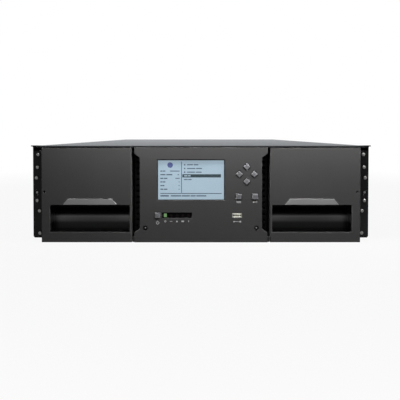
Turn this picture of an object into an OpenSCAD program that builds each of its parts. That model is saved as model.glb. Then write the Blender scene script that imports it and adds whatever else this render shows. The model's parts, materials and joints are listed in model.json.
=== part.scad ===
// Rack-mounted data tape library, three rack units high.
// The fascia faces -Y, +X is to the right seen from the front, +Z is up.
// The origin is under the middle of the bounding box, at the underside of the pan.

/* [Overall] */
// Depth over the fascia and the rear handles
overall_d = 890; // [860:1:960]
// Height of the unit, three rack units
unit_h = 133.35; // [132:0.05:140]
// Width of the sheet-metal pan
chassis_w = 446; // [444:0.5:449]
// How far each rack ear stands out from the wall of the pan
ear_out = 14.5; // [12:0.5:17]
// How far the rear handles stand behind the rear panel
handle_out = 10; // [8:0.5:16]

/* [Sheet metal] */
// Thickness of the floor of the pan
floor_t = 1.5; // [1:0.1:2]
// Thickness of the folded walls, panels and brackets
sheet_t = 1.2; // [0.8:0.1:1.5]
// Thickness of the top cover
cover_t = 1.5; // [1:0.1:1.8]
// How far the top cover stands out past the pan on each side
cover_over = 2; // [1.5:0.1:3]
// How far the cover's wings stand out past the ears
wing_over = 2.5; // [1:0.1:4]
// Height of the lip folded down at the cover's front edge
lip_h = 2; // [1.8:0.1:3]
// Thickness of the rack ears
ear_t = 2; // [1.5:0.1:3]
// How far the ears lie behind the fascia
ear_setback = 24; // [22:0.5:28]
// Height of the ears' underside above the floor
ear_z0 = 2.5; // [0.5:0.1:4]
// Distance of each rack hole from the outer edge of its ear
rack_hole_in = 4.95; // [4:0.05:8]
// Diameter of the rack holes
rack_hole_d = 7.1; // [6:0.1:8]

/* [Fascia] */
// How far each end of the fascia lies inside the width of the pan
fascia_in = 4; // [2:0.5:8]
// Width of the operator panel, the doors take the rest of the fascia
panel_w = 182.8; // [178:0.2:188]
// Gap between a door and the operator panel
door_gap = 3.4; // [2:0.1:5]
// Height of the doors above the ground
door_z0 = 0.6; // [0.4:0.1:2]
// How deep the door mouldings are
door_d = 20; // [16:0.5:21]
// Wall of the door and panel mouldings
moulding_t = 2.5; // [2:0.1:3]
// How far the keys stand in front of the fascia
key_proud = 0.6; // [0.3:0.1:1]
// How much narrower a handle pocket is than its door
pocket_margin = 15.2; // [14:0.2:30]
// Height of a handle pocket
pocket_h = 37.4; // [30:0.2:40]
// Height of a pocket's floor above the ground
pocket_z = 14.6; // [12:0.2:18]
// Depth of a pocket behind the door's face
pocket_d = 33; // [28:0.5:34]
// Wall of the pocket tub
pocket_t = 1.8; // [1.2:0.1:2]
// Distance from each end of a pocket to the grip tab
tab_inset = 17.2; // [12:0.2:20]
// Height of the grip tab
tab_h = 8.6; // [6:0.2:12]
// Diameter of the manual release holes
pinhole_d = 3; // [2:0.1:4]

/* [Operator panel] */
// Width of the display
lcd_w = 90.8; // [80:0.2:94]
// Height of the display
lcd_h = 54.2; // [45:0.2:58]
// Middle of the display across the panel
lcd_x = -13.6; // [-16:0.1:-12]
// Middle of the display below the top of the fascia
lcd_drop = 44.65; // [41:0.05:47]
// Middle of the arrow keys across the panel
arrows_x = 63; // [58:0.1:66]
// Middle of the arrow keys below the top of the fascia
arrows_drop = 36.75; // [31:0.05:39]
// Distance of each arrow key from their middle
arrow_pitch = 10.2; // [9:0.1:12]
// Side of an arrow key
arrow_side = 6.6; // [5:0.1:8]
// Side of the two square keys and the power key
key_side = 7.5; // [6:0.1:8]
// Distance between the two square keys
key_pitch = 22.2; // [18:0.1:26]
// Middle of the square keys below the top of the fascia
key_drop = 67.45; // [65:0.05:71]
// Travel of every key
key_travel = 0.8; // [0.5:0.1:1]
// Gap around a key in the panel
key_gap = 0.3; // [0.2:0.05:0.5]
// Middle of the power key across the panel
power_x = -59.4; // [-62:0.1:-58]
// Height of the power key, the lamps and the data port
lamps_z = 37.8; // [34:0.1:42]
// Left end of the lamp window
lamp_x0 = -53.4; // [-54:0.1:-50]
// Width of the lamp window
lamp_w = 41; // [36:0.5:46]
// Height of the lamp window
lamp_h = 7.4; // [6:0.1:9]
// Number of status lamps
n_lamps = 5; // [3:1:6]
// Middle of the data port across the panel
port_x = 49.7; // [46:0.1:54]
// Distance of each panel screw from the end of the panel
panel_screw_in = 15; // [13:0.5:20]
// Height of the panel screws
panel_screw_z = 20.3; // [16:0.1:24]
// How far the side air inlets cut into the panel
inlet_w = 7.5; // [5:0.1:9]
// Foot of the air inlets above the ground
inlet_z0 = 13.3; // [10:0.1:18]
// Head of the air inlets below the top of the fascia
inlet_drop = 8.45; // [7:0.05:16]

/* [Cartridges and magazines] */
// Width of a cartridge
cart_w = 102; // [98:0.1:103]
// Length of a cartridge
cart_l = 105.4; // [102:0.1:106]
// Headroom above a cartridge in its slot
cart_head = 2.8; // [2:0.1:4]
// Rows of cartridges in a magazine
n_rows = 4; // [3:1:4]
// Columns of cartridges in a magazine
n_cols = 5; // [3:1:5]
// Space between the magazines and the top cover
tray_head = 11.65; // [10:0.05:14]
// Space between one cartridge and the next along a magazine
col_gap = 4; // [3.5:0.1:5]
// Thickness of the magazine's shelves and end walls
shelf_t = 2.2; // [1.6:0.1:2.4]
// Space behind a cartridge for its spring
spring_space = 7; // [5:0.5:8]
// Height of the runners under the magazines
guide_h = 10.2; // [8:0.1:11]
// Distance from the ears back to the magazine trays
tray_setback = 35; // [34:0.5:40]
// Space between a magazine and the wall of the pan
tray_side = 5; // [4:0.5:7]
// Running gap under and beside a magazine
run_gap = 0.3; // [0.2:0.05:0.6]

/* [Robot] */
// Teeth of the lift pinions
pinion_n = 15; // [13:1:16]
// Module of the lift teeth
lift_m = 0.8; // [0.7:0.05:0.85]
// Diameter of the lift shafts
shaft_d = 4; // [3:0.1:4.5]
// Radial clearance of a shaft in its bearing
shaft_fit = 0.05; // [0.02:0.01:0.1]
// Width of the lift's side beams
beam_w = 7; // [6.5:0.1:8]
// Height of the lift's side beams
beam_h = 10; // [9.5:0.1:10.2]
// Height of the lift frame above the pan's floor
lift_gap = 2.2; // [1.8:0.1:2.5]
// Teeth of the turntable
turn_n = 96; // [90:2:100]
// Teeth of the turntable's drive pinion
drive_n = 14; // [12:1:16]
// Module of the turntable teeth
turn_m = 0.9; // [0.8:0.05:0.95]

/* [Rear units] */
// Width of a drive sled
drive_w = 168; // [160:1:170]
// Gap above a drive sled
drive_gap = 1.4; // [1:0.1:3]
// Gap above a power supply
psu_gap = 4.5; // [3:0.1:6]
// Space between the magazines and the power supplies
rear_space = 50.6; // [46:0.2:60]
// How much shorter a drive sled is than a power supply
drive_short = 23; // [20:1:30]
// How much shorter the controller is than a power supply
ctrl_short = 56; // [40:1:90]
// Gap between the drive cage and the units beside it
side_unit_gap = 12.3; // [8:0.1:16]
// Diameter of the power supply fans
fan_d = 48; // [40:1:50]
// Space above the controller for cables and air
ctrl_head = 28; // [20:0.5:40]
// Wall of the drive and power supply housings
housing_t = 2; // [1.5:0.1:3]

/* [Hidden] */
$fn = 48;

charcoal = [0.19, 0.19, 0.195];
black = [0.09, 0.09, 0.095];
key_grey = [0.52, 0.52, 0.54];
zinc = [0.68, 0.69, 0.7];
cover_grey = [0.58, 0.6, 0.62];
board_green = [0.1, 0.32, 0.2];
steel = [0.75, 0.76, 0.78];
nylon = [0.85, 0.84, 0.8];

// Planes along Y
y0 = -overall_d / 2;
face_y = y0 + key_proud;
ear_y = y0 + ear_setback;
pan_y0 = ear_y + ear_t;
rear_y = overall_d / 2 - handle_out;
tray_y0 = ear_y + tray_setback;
col_pitch = cart_w + col_gap;
tray_l = n_cols * col_pitch + 2 * shelf_t;
psu_l = rear_y - tray_y0 - tray_l - rear_space;
drive_l = psu_l - drive_short;
drive_y0 = rear_y - drive_l;
ctrl_l = psu_l - ctrl_short;
// Heights
cover_z = unit_h - cover_t;
door_z1 = unit_h - lip_h - run_gap;
door_h = door_z1 - door_z0;
tray_z0 = floor_t + guide_h + run_gap;
tray_h = cover_z - tray_head - tray_z0;
row_pitch = (tray_h - shelf_t) / n_rows;
cart_h = row_pitch - shelf_t - cart_head;
slot_z = tray_z0 + shelf_t;
lcd_z = door_z1 - lcd_drop;
arrows_z = door_z1 - arrows_drop;
key_z = door_z1 - key_drop;
inlet_z1 = door_z1 - inlet_drop;
rack_hole_z = unit_h / 2;
// Places across the unit, from the outside inwards
ear_span = chassis_w + 2 * ear_out;
rack_hole_span = ear_span - 2 * rack_hole_in;
cover_w = chassis_w + 2 * cover_over;
wing_w = ear_span + 2 * wing_over;
panel_x = panel_w / 2;
door_x0 = panel_x + door_gap;
door_x1 = chassis_w / 2 - fascia_in;
pocket_w = door_x1 - door_x0 - pocket_margin;
pocket_mid = (door_x0 + door_x1) / 2 - 4.5;
tab_w = pocket_w - 2 * tab_inset;
panel_screw_span = panel_w - 2 * panel_screw_in;
wall_x = chassis_w / 2 - sheet_t;
tray_x1 = wall_x - tray_side;
cart_in = 1.5;
tray_w = cart_in + cart_l + spring_space + shelf_t;
tray_x0 = tray_x1 - tray_w;
post_t = 3.4;
post_x1 = tray_x0 - 2.5;
post_x0 = post_x1 - post_t;
rack_back = 1.6;
pinion_r = pinion_n * lift_m / 2;
rack_x = post_x0 - rack_back - 1.25 * lift_m;
shaft_x = rack_x - pinion_r;
beam_x0 = shaft_x - beam_w / 2;
picker_r = beam_x0 - 2.5;
// Lift heights and ends
lift_z = floor_t + lift_gap;
shaft_z = lift_z + beam_h / 2 + 0.8;
post_w = 8;
front_post_y = face_y + pocket_d + pocket_t + 3 + post_w / 2;
rear_post_y = drive_y0 - 14 - post_w / 2;
lift_travel = (n_rows - 1) * row_pitch;
home_y = tray_y0 + shelf_t + col_pitch / 2;
// Robot heights, the carriage plate first
plate_z = lift_z + 0.8;
plate_t = 2;
picker_t = 1.5;
picker_z = slot_z - run_gap - picker_t;
hub_z = plate_z + plate_t + run_gap;
gear_z = hub_z + 2;
picker_mouth = sqrt(picker_r * picker_r - pow(cart_w / 2 + 3.2, 2)) - 0.5;
picker_tail = picker_mouth - cart_l - 4;
turn_r = turn_n * turn_m / 2;
turn_pin_r = drive_n * turn_m / 2;

// A box between two corners
module box(x0, x1, y0, y1, z0, z1) {
    translate([x0, y0, z0]) cube([x1 - x0, y1 - y0, z1 - z0]);
}
// A profile drawn across X and Z, drawn out along Y
module along_y(y0, y1) {
    translate([0, y1, 0]) rotate([90, 0, 0]) linear_extrude(y1 - y0) children();
}
// A profile drawn across Y and Z, drawn out along X
module along_x(x0, x1) {
    translate([x0, 0, 0]) rotate([90, 0, 90]) linear_extrude(x1 - x0) children();
}
module rod_y(x, z, d, y0, y1) {
    translate([x, y1, z]) rotate([90, 0, 0]) cylinder(d = d, h = y1 - y0);
}
module rod_x(y, z, d, x0, x1) {
    translate([x0, y, z]) rotate([0, 90, 0]) cylinder(d = d, h = x1 - x0);
}
// A rectangle with true round corners
module round_rect(w, h, r) {
    square([w - 2 * r, h], center = true);
    square([w, h - 2 * r], center = true);
    for (sx = [-1, 1], sy = [-1, 1]) translate([sx * (w / 2 - r), sy * (h / 2 - r)]) circle(r);
}
// A pan-head screw whose head lies on y and whose shank runs towards +Y
module screw_y(x, y, z, head, shank, len) {
    rod_y(x, z, head, y - 0.45 * head, y);
    rod_y(x, z, shank, y, y + len);
}
// What belongs to both sides, made on the right and mirrored to the left
module side(s) {
    if (s < 0) mirror([1, 0, 0]) children(); else children();
}
// Involute gear outline
function inv(a) = tan(a) * 180 / PI - a;
function flank(n, m, r, play) = 90 / n + inv(20)
    - inv(acos(min(1, n * m / 2 * cos(20) / r))) - play / r * 90 / PI;
function gear_points(n, m, play) =
    let (r0 = n * m / 2 - 1.2 * m, rb = max(r0 + 0.02, n * m / 2 * cos(20)), r1 = n * m / 2 + 0.9 * m,
         rs = [r0, rb, (rb + r1) / 2, r1])
    [for (i = [0:n - 1], k = [-4:3])
        let (j = k < 0 ? 4 + k : 3 - k, r = rs[j], s = k < 0 ? -1 : 1,
             a = 360 * i / n + s * max(0.4, flank(n, m, max(r, rb), play)))
        [r * cos(a), r * sin(a)]];
function rack_points(n, m, back, play) =
    let (p = PI * m, w = p / 4 - play / 2, root = w + 1.25 * m * tan(20), tip = w - 0.9 * m * tan(20))
    concat([[back + 1.25 * m, n * p], [back + 1.25 * m, 0]],
        [for (i = [0:n - 1], k = [-1.5, -0.5, 0.5, 1.5])
            [abs(k) > 1 ? 1.25 * m : -0.9 * m, (i + 0.5) * p + sign(k) * (abs(k) > 1 ? root : tip)]]);

// ---------------------------------------------------------------- sheet metal
vent_slot = [3.2, 22];
module chassis_pan() {
    flange = 11;
    color(zinc) difference() {
        union() {
            along_y(pan_y0, rear_y - sheet_t) polygon([
                [-chassis_w / 2, 0], [chassis_w / 2, 0], [chassis_w / 2, cover_z],
                [wall_x - flange, cover_z], [wall_x - flange, cover_z - sheet_t], [wall_x, cover_z - sheet_t],
                [wall_x, floor_t], [-wall_x, floor_t], [-wall_x, cover_z - sheet_t],
                [flange - wall_x, cover_z - sheet_t], [flange - wall_x, cover_z], [-chassis_w / 2, cover_z]]);
            box(-panel_x, panel_x, ear_y + sheet_t, pan_y0, 0, floor_t);
        }
        // air slots low in both walls beside the power supplies and the controller
        for (i = [0:11], z = [24, 56, 88])
            translate([-chassis_w, rear_y - 60 - i * 9, z]) cube([2 * chassis_w, vent_slot[0], vent_slot[1]]);
        // holes for the cover screws
        for (s = [-1, 1], y = cover_screw_ys)
            translate([s * (wall_x - flange / 2), y, cover_z - 5]) cylinder(d = 3, h = 10);
    }
}
cover_screw_ys = [pan_y0 + 40, 0, rear_y - 40];
module top_cover() {
    side_h = 12;
    fold_x = chassis_w / 2 + 0.4;
    color(cover_grey) difference() {
        union() {
            box(-cover_w / 2, cover_w / 2, face_y + 0.4, rear_y, cover_z, unit_h);
            // folded lip along the front edge
            box(-cover_w / 2, cover_w / 2, face_y + 0.4, face_y + 0.4 + sheet_t, unit_h - lip_h, cover_z);
            // wings above the rack ears
            box(-wing_w / 2, wing_w / 2, ear_y - 1, ear_y + ear_t + 6, cover_z, unit_h);
            for (s = [-1, 1]) side(s)
                box(fold_x, cover_w / 2, pan_y0 + 44, rear_y, cover_z - side_h, cover_z);
        }
        for (s = [-1, 1], y = cover_screw_ys)
            translate([s * (wall_x - 5.5), y, cover_z - 1]) {
                cylinder(d = 3.4, h = 5);
                translate([0, 0, cover_t - 0.7]) cylinder(d1 = 3.4, d2 = 6.4, h = 1.71);
            }
    }
}
module cover_screws() {
    color(steel) for (s = [-1, 1], y = cover_screw_ys)
        translate([s * (wall_x - 5.5), y, cover_z - 4]) {
            cylinder(d = 2.9, h = 4 + cover_t - 0.2);
            translate([0, 0, 4 + cover_t - 1.4]) cylinder(d1 = 2.9, d2 = 5.6, h = 1.3);
        }
}
bay_x0 = pocket_mid - pocket_w / 2 - pocket_t - 1;
module front_frame() {
    color(charcoal) difference() {
        box(ear_t - chassis_w / 2, chassis_w / 2 - ear_t, ear_y, ear_y + sheet_t, floor_t + 0.3, cover_z - 1);
        for (s = [-1, 1]) side(s)
            box(bay_x0, tray_x1 + 1.5, ear_y - 1, ear_y + 5, tray_z0 - 4, cover_z - 5);
        // behind the operator panel
        along_y(ear_y - 1, ear_y + 5) translate([0, unit_h / 2]) round_rect(panel_w - 50, unit_h - 22, 3);
        for (s = [-1, 1]) rod_y(s * panel_screw_span / 2, panel_screw_z, 3.4, ear_y - 1, ear_y + 5);
    }
}
ear_skin = 0.8;
module ear(s) {
    leg = 42;
    slot_z1 = unit_h - lip_h - 6;
    color(charcoal) side(s) difference() {
        union() {
            along_y(ear_y, pan_y0) polygon([
                [chassis_w / 2 - ear_t, ear_z0], [ear_span / 2 - 2, ear_z0], [ear_span / 2, ear_z0 + 2],
                [ear_span / 2, unit_h - lip_h], [chassis_w / 2 + 6, unit_h - lip_h],
                [chassis_w / 2 + 6, slot_z1], [chassis_w / 2 - ear_t, slot_z1]]);
            // leg that lies on the wall of the pan
            box(chassis_w / 2, chassis_w / 2 + ear_t, pan_y0, pan_y0 + leg, 8, unit_h - 16);
        }
        // shallow seat under the cover
        box(chassis_w / 2 + 5, ear_span / 2 - 1.5, ear_y - 1, pan_y0 - ear_skin,
            slot_z1 + 0.5, unit_h - lip_h - 1);
        // rack screw hole
        rod_y(rack_hole_span / 2, rack_hole_z, rack_hole_d, ear_y - 1, pan_y0 + 1);
        for (p = ear_screw_spots) rod_y(chassis_w / 2 + p[0], p[1], 3, ear_y - 1, pan_y0 + 1);
        for (z = ear_leg_zs) rod_x(pan_y0 + 24, z, 3.4, chassis_w / 2 - 1, chassis_w / 2 + 5);
    }
}
ear_leg_zs = [28, unit_h / 2, unit_h - 32];
// Distance of each screw from the wall of the pan, and its height
ear_screw_spots = [[4.8, 9.2], [5.1, 40.8], [8.4, 55.4], [9.2, unit_h - 45.8], [7.7, unit_h - 30.8],
    [6.7, unit_h - 12.8]];
module ear_screws() {
    color(steel) for (s = [-1, 1]) side(s) {
        for (p = ear_screw_spots) screw_y(chassis_w / 2 + p[0], ear_y, p[1], 4.6, 3, ear_t + 3);
        for (z = ear_leg_zs) {
            rod_x(pan_y0 + 24, z, 3.4, chassis_w / 2, chassis_w / 2 + ear_t);
            rod_x(pan_y0 + 24, z, 6, chassis_w / 2 + ear_t, chassis_w / 2 + ear_t + 2);
        }
    }
}

// ---------------------------------------------------------------- operator panel
// Outline of the panel with its two side inlets, drawn in by d all round
function panel_outline(d) = let (x = panel_x - d, a = door_z0 + d, b = door_z1 - d, c = 5.8,
        i0 = inlet_z0 - d, i1 = inlet_z1 + d, xi = panel_x - inlet_w - d)
    [[-x, a], [x, a], [x, i0], [xi, i0 + c], [xi, i1 - c], [x, i1], [x, b],
     [-x, b], [-x, i1], [-xi, i1 - c], [-xi, i0 + c], [-x, i0]];
arrow_spots = [for (a = [0:90:270]) [arrows_x + arrow_pitch * cos(a), arrows_z + arrow_pitch * sin(a)]];
menu_x = arrows_x - key_pitch / 2;
enter_x = arrows_x + key_pitch / 2;
panel_back = face_y + moulding_t;
board_y = face_y + 13;
shell_y1 = face_y + door_d;
lamp_x1 = lamp_x0 + lamp_w;
lamp_pitch = (lamp_w - 9) / (n_lamps - 1);
boss_d = 9;
module square_hole(x, z, w, turn) {
    translate([x, 0, z]) rotate([0, turn, 0])
        box(-w / 2, w / 2, face_y - 1, panel_back + 1, -w / 2, w / 2);
}
module operator_panel() {
    color(charcoal) difference() {
        union() {
            difference() {
                along_y(face_y, shell_y1) polygon(panel_outline(0));
                along_y(panel_back, shell_y1 + 1) polygon(panel_outline(moulding_t));
            }
            for (s = [-1, 1]) rod_y(s * panel_screw_span / 2, panel_screw_z, boss_d, panel_back, ear_y);
            // posts that carry the display and the board
            for (p = board_spots) rod_y(p[0], p[1], 5, panel_back, board_y);
            // lips that close the foot of the seam beside each door
            for (s = [-1, 1]) side(s)
                box(panel_x - 1, door_x0 - 0.5, face_y + 2, face_y + 5, door_z0, inlet_z0 - 5);
        }
        // display opening with its bevelled frame
        along_y(face_y - 1, panel_back + 1) translate([lcd_x, lcd_z]) square([lcd_w, lcd_h], center = true);
        translate([lcd_x, face_y + 1.2, lcd_z]) rotate([90, 0, 0]) linear_extrude(2)
            square([lcd_w + 2, lcd_h + 2], center = true);
        for (p = arrow_spots) square_hole(p[0], p[1], arrow_side + 2 * key_gap, 45);
        for (x = [menu_x, enter_x]) square_hole(x, key_z, key_side + 2 * key_gap, 0);
        square_hole(power_x, lamps_z, key_side + 2 * key_gap, 0);
        box(lamp_x0, lamp_x1, face_y - 1, panel_back + 1, lamps_z - lamp_h / 2, lamps_z + lamp_h / 2);
        box(port_x - 6.8, port_x + 6.8, face_y - 1, panel_back + 1, lamps_z - 3.2, lamps_z + 3.2);
        for (s = [-1, 1]) {
            rod_y(s * panel_screw_span / 2, panel_screw_z, 3.4, face_y - 1, ear_y + 1);
            rod_y(s * panel_screw_span / 2, panel_screw_z, 6.4, face_y - 1, face_y + 4);
        }
    }
}
module panel_screws() {
    color(steel) for (s = [-1, 1]) difference() {
        screw_y(s * panel_screw_span / 2, face_y + 4, panel_screw_z, 5.6, 3.3, ear_y - face_y);
        translate([s * panel_screw_span / 2, face_y, panel_screw_z]) rotate([90, 0, 0])
            cylinder(d = 2.4, h = 8, center = true, $fn = 6);
    }
}
module side_inlet_grilles() {
    pitch = 8;
    ribs = floor((inlet_z1 - inlet_z0 - 12) / pitch);
    gy = face_y + 9;
    color(black) for (s = [-1, 1]) side(s) difference() {
        along_y(gy, gy + 4) polygon([
            [panel_x - inlet_w, inlet_z0 + 5.8], [panel_x - 0.2, inlet_z0 + 0.2],
            [panel_x - 0.2, inlet_z1 - 0.2], [panel_x - inlet_w, inlet_z1 - 5.8]]);
        for (i = [0:ribs]) let (z = inlet_z0 + 7 + i * pitch)
            along_x(panel_x - inlet_w + 1.2, panel_x - 1.4)
                polygon([[gy - 1, z], [gy + 5, z + 2.4], [gy + 5, z + 5.6], [gy - 1, z + 3.2]]);
    }
}
module display() {
    frame = 3;
    lcd_t = 4.4;
    color([0.62, 0.7, 0.76]) along_y(panel_back, panel_back + lcd_t) translate([lcd_x, lcd_z])
        offset(delta = frame - 1, chamfer = true) square([lcd_w + 2, lcd_h + 2], center = true);
    // metal pillars down to the board
    color(steel) translate([lcd_x, 0, lcd_z]) for (sx = [-1, 1], sz = [-1, 1])
        rod_y(sx * (lcd_w / 2 - 4), sz * (lcd_h / 2 - 4), 4, panel_back + lcd_t - 0.4, board_y);
}
module display_window() {
    color([0.75, 0.85, 0.9, 0.5]) along_y(face_y + 1.2, face_y + 2) translate([lcd_x, lcd_z])
        square([lcd_w - 0.2, lcd_h - 0.2], center = true);
    // adhesive frame that holds the window to the display
    color(black) along_y(face_y + 2, panel_back) translate([lcd_x, lcd_z]) difference() {
        square([lcd_w - 0.2, lcd_h - 0.2], center = true);
        square([lcd_w - 2.4, lcd_h - 2.4], center = true);
    }
}
board_spots = [for (s = [-1, 1], z = [key_z - 11.6, door_z1 - 13]) [s * (panel_x - 8 - inlet_w), z]];
switch_h = 4;
module tact_switch(x, z) {
    box(x - 3, x + 3, board_y - switch_h + 1, board_y, z - 3, z + 3);
    rod_y(x, z, 3.4, board_y - switch_h, board_y - switch_h + 1);
}
module panel_board() {
    t = 1.6;
    w = panel_x - inlet_w - moulding_t - 2;
    color(board_green) difference() {
        box(-w, w, board_y, board_y + t, panel_screw_z + 8, door_z1 - 6);
        for (p = board_spots) rod_y(p[0], p[1], 2.6, board_y - 1, board_y + t + 1);
    }
    color(black) for (x = [-40, -10, 30]) box(x, x + 14, board_y + t, board_y + t + 2, 60, 74);
    color(nylon) box(-20, 22, board_y + t, board_y + t + 4.5, 100, 107);
    color(steel) {
        for (p = arrow_spots) tact_switch(p[0], p[1]);
        for (x = [menu_x, enter_x]) tact_switch(x, key_z);
        tact_switch(power_x, lamps_z);
        for (p = board_spots) rod_y(p[0], p[1], 5, board_y + t, board_y + t + 1.8);
    }
}
// Side view of a key cap with its sloped rim
module key_profile(w) {
    rim = 0.5;
    polygon([[y0, rim - w / 2], [y0 + rim, -w / 2], [panel_back + 0.2, -w / 2],
        [panel_back + 0.2, w / 2], [y0 + rim, w / 2], [y0, w / 2 - rim]]);
}
// A key is a cap, a skirt that stops behind the panel and a stem towards its switch
module key(x, z, w, turn) {
    stem_y1 = board_y - switch_h - key_travel - 0.1;
    color(key_grey) translate([x, 0, z]) {
        rotate([0, turn, 0]) {
            intersection_for(a = [0, 90]) rotate([0, a, 0]) along_x(-w / 2, w / 2) key_profile(w);
            box(-w / 2 - 0.8, w / 2 + 0.8, panel_back + 0.2, panel_back + 1.2, -w / 2 - 0.8, w / 2 + 0.8);
        }
        rod_y(0, 0, 3.4, panel_back + 1.2, stem_y1);
    }
}
module lamp_window() {
    g = 0.1;
    half = lamp_h / 2 - g;
    color(black) difference() {
        box(lamp_x0 + g, lamp_x1 - g, face_y + 0.4, face_y + 1.6, lamps_z - half, lamps_z + half);
        for (i = [0:n_lamps - 1])
            box(lamp_at(i) - 2.2, lamp_at(i) + 2.2, face_y, face_y + 1, lamps_z - 2.7, lamps_z + 2.7);
    }
    // legs that stand on the board
    color(black) for (x = [lamp_x0 + g, lamp_x1 - g - 1])
        box(x, x + 1, face_y + 1.4, board_y, lamps_z - 3, lamps_z + 3);
}
function lamp_at(i) = lamp_x0 + 4.5 + i * lamp_pitch;
module status_lamps() {
    color([0.35, 0.8, 0.3]) for (i = [0:n_lamps - 1]) {
        box(lamp_at(i) - 2.1, lamp_at(i) + 2.1, face_y + 0.5, face_y + 1, lamps_z - 2.6, lamps_z + 2.6);
    }
    color(nylon) for (i = [0:n_lamps - 1])
        box(lamp_at(i) - 1.6, lamp_at(i) + 1.6, face_y + 1.6, board_y, lamps_z - 2, lamps_z + 2);
}
module data_port() {
    t = 0.4;
    w = 13;
    h = 5.8;
    translate([port_x, 0, lamps_z]) {
        color(steel) difference() {
            box(-w / 2, w / 2, face_y + 0.2, board_y, -h / 2, h / 2);
            box(t - w / 2, w / 2 - t, face_y - 1, board_y - 1, t - h / 2, h / 2 - t);
        }
        // tongue with the contacts
        color(nylon) box(1.2 - w / 2, w / 2 - 1.2, face_y + 1, board_y - 0.5, 0.1, 1.9);
    }
}

// ---------------------------------------------------------------- magazine doors
pocket_z1 = pocket_z + pocket_h;
step_z = pocket_z + 0.39 * pocket_h;
hook_z = pocket_z1 + 4;
// Section of the hand pocket, depth behind the face against height: an upright
// foot, a rounded shoulder and a deep space to hook the fingers up behind the tab
function pocket_section(d) = let (f = 0.58 * pocket_d, r = pocket_d - f + 1, b = pocket_d + d,
        lip = d > 0 ? [moulding_t, hook_z] : [moulding_t + 0.1, pocket_z1])
    concat([[-5, pocket_z - d], [f + d, pocket_z - d]],
        [for (a = [0:10:70]) [f + d + r * (1 - cos(a)), step_z + (r - d) * sin(a)]],
        [[b, step_z + r], [b, hook_z + d - 3], [b - 3, hook_z + d], [moulding_t + 1.5 - d, hook_z + d],
         lip, [-5, lip[1]]]);
module pocket_solid(d) {
    x0 = pocket_mid - pocket_w / 2 - d;
    translate([0, face_y, 0]) along_x(x0, x0 + pocket_w + 2 * d) polygon(pocket_section(d));
}
// Outline of the grip tab, or of its seat, which is wider by d and runs out into the pocket
module tab_shape(d) {
    foot = tab_w / 2 + d;
    head = foot - tab_slope;
    translate([pocket_mid, pocket_z1]) polygon(concat(
        [[foot, 0.3], [head, tab_h + d], [-head, tab_h + d], [-foot, 0.3]],
        d > 0 ? [[-foot, -1], [foot, -1]] : []));
}
tab_slope = 7;
module door(s) {
    c = 0.8;
    color(charcoal) side(s) difference() {
        union() {
            difference() {
                union() {
                    box(door_x0, door_x1, face_y + c, face_y + door_d, door_z0, door_z1);
                    box(door_x0 + c, door_x1 - c, face_y, face_y + c, door_z0 + c, door_z1 - c);
                }
                box(door_x0 + moulding_t, door_x1 - moulding_t, face_y + moulding_t, face_y + door_d + 1,
                    door_z0 + moulding_t, door_z1 - moulding_t);
            }
            intersection() {
                pocket_solid(pocket_t);
                box(door_x0, door_x1, face_y + 1, face_y + 60, 0, unit_h);
            }
            // stiffening ribs across the back of the door
            for (z = [78, 100]) box(door_x0 + 1, door_x1 - 1, face_y + 1, face_y + door_d - 4, z, z + 1.8);
            // pads that the magazine is screwed to
            for (x = door_pads) box(x - 6, x + 6, face_y + 1, tray_y0 - tray_arm, 84, 96);
        }
        pocket_solid(0);
        // seat of the grip tab
        along_y(face_y - 1, face_y + 1.2) tab_shape(0.7);
        rod_y(pinhole_x, rack_hole_z + 3.3, pinhole_d, face_y - 1, face_y + 5);
    }
}
pinhole_x = door_x1 - 4.3;
tray_arm = 30;
door_pads = [max(door_x0, tray_x0) + 16, tray_x1 - 16];
module grip_tab(s) {
    color([0.46, 0.46, 0.47]) side(s) difference() {
        along_y(y0 + 0.2, face_y + 1.2) tab_shape(0);
        // bevelled ends
        for (e = [-1, 1]) translate([pocket_mid + e * (tab_w / 2 + 0.4), y0 - 4, pocket_z1])
            rotate([0, -e * 38, e * 24]) cube([10, 8, 50], center = true);
    }
}

// ---------------------------------------------------------------- magazines
module magazine(s) {
    slot_d = tray_w - shelf_t;
    color(black) side(s) difference() {
        union() {
            box(tray_x0, tray_x1, tray_y0, tray_y0 + tray_l, tray_z0, tray_z0 + tray_h);
            // arms that reach forward to the door
            for (x = door_pads) box(x - 4, x + 4, tray_y0 - tray_arm, tray_y0, 86, 94);
        }
        for (c = [0:n_cols - 1], r = [0:n_rows - 1]) {
            ya = tray_y0 + shelf_t + c * col_pitch;
            za = slot_z + r * row_pitch;
            // the dividers stop short of the aisle to let the picker's fingers in
            box(tray_x0 - 1, tray_x0 + 18, ya - 0.5, ya + col_pitch + 0.5, za, za + row_pitch - shelf_t);
            box(tray_x0 - 1, tray_x0 + slot_d, ya + 1, ya + col_pitch - 1, za, za + row_pitch - shelf_t);
            // finger window in the outer wall
            box(tray_x0 + slot_d - 1, tray_x1 + 1, ya + 24, ya + col_pitch - 24, za + 5, za + cart_h - 3);
            // relief in the shelf's edge for the picker's jaws
            if (r > 0) translate([tray_x0, ya + col_pitch / 2, za - shelf_t - 1])
                cylinder(r = 15, h = shelf_t + 2);
        }
    }
}
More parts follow.
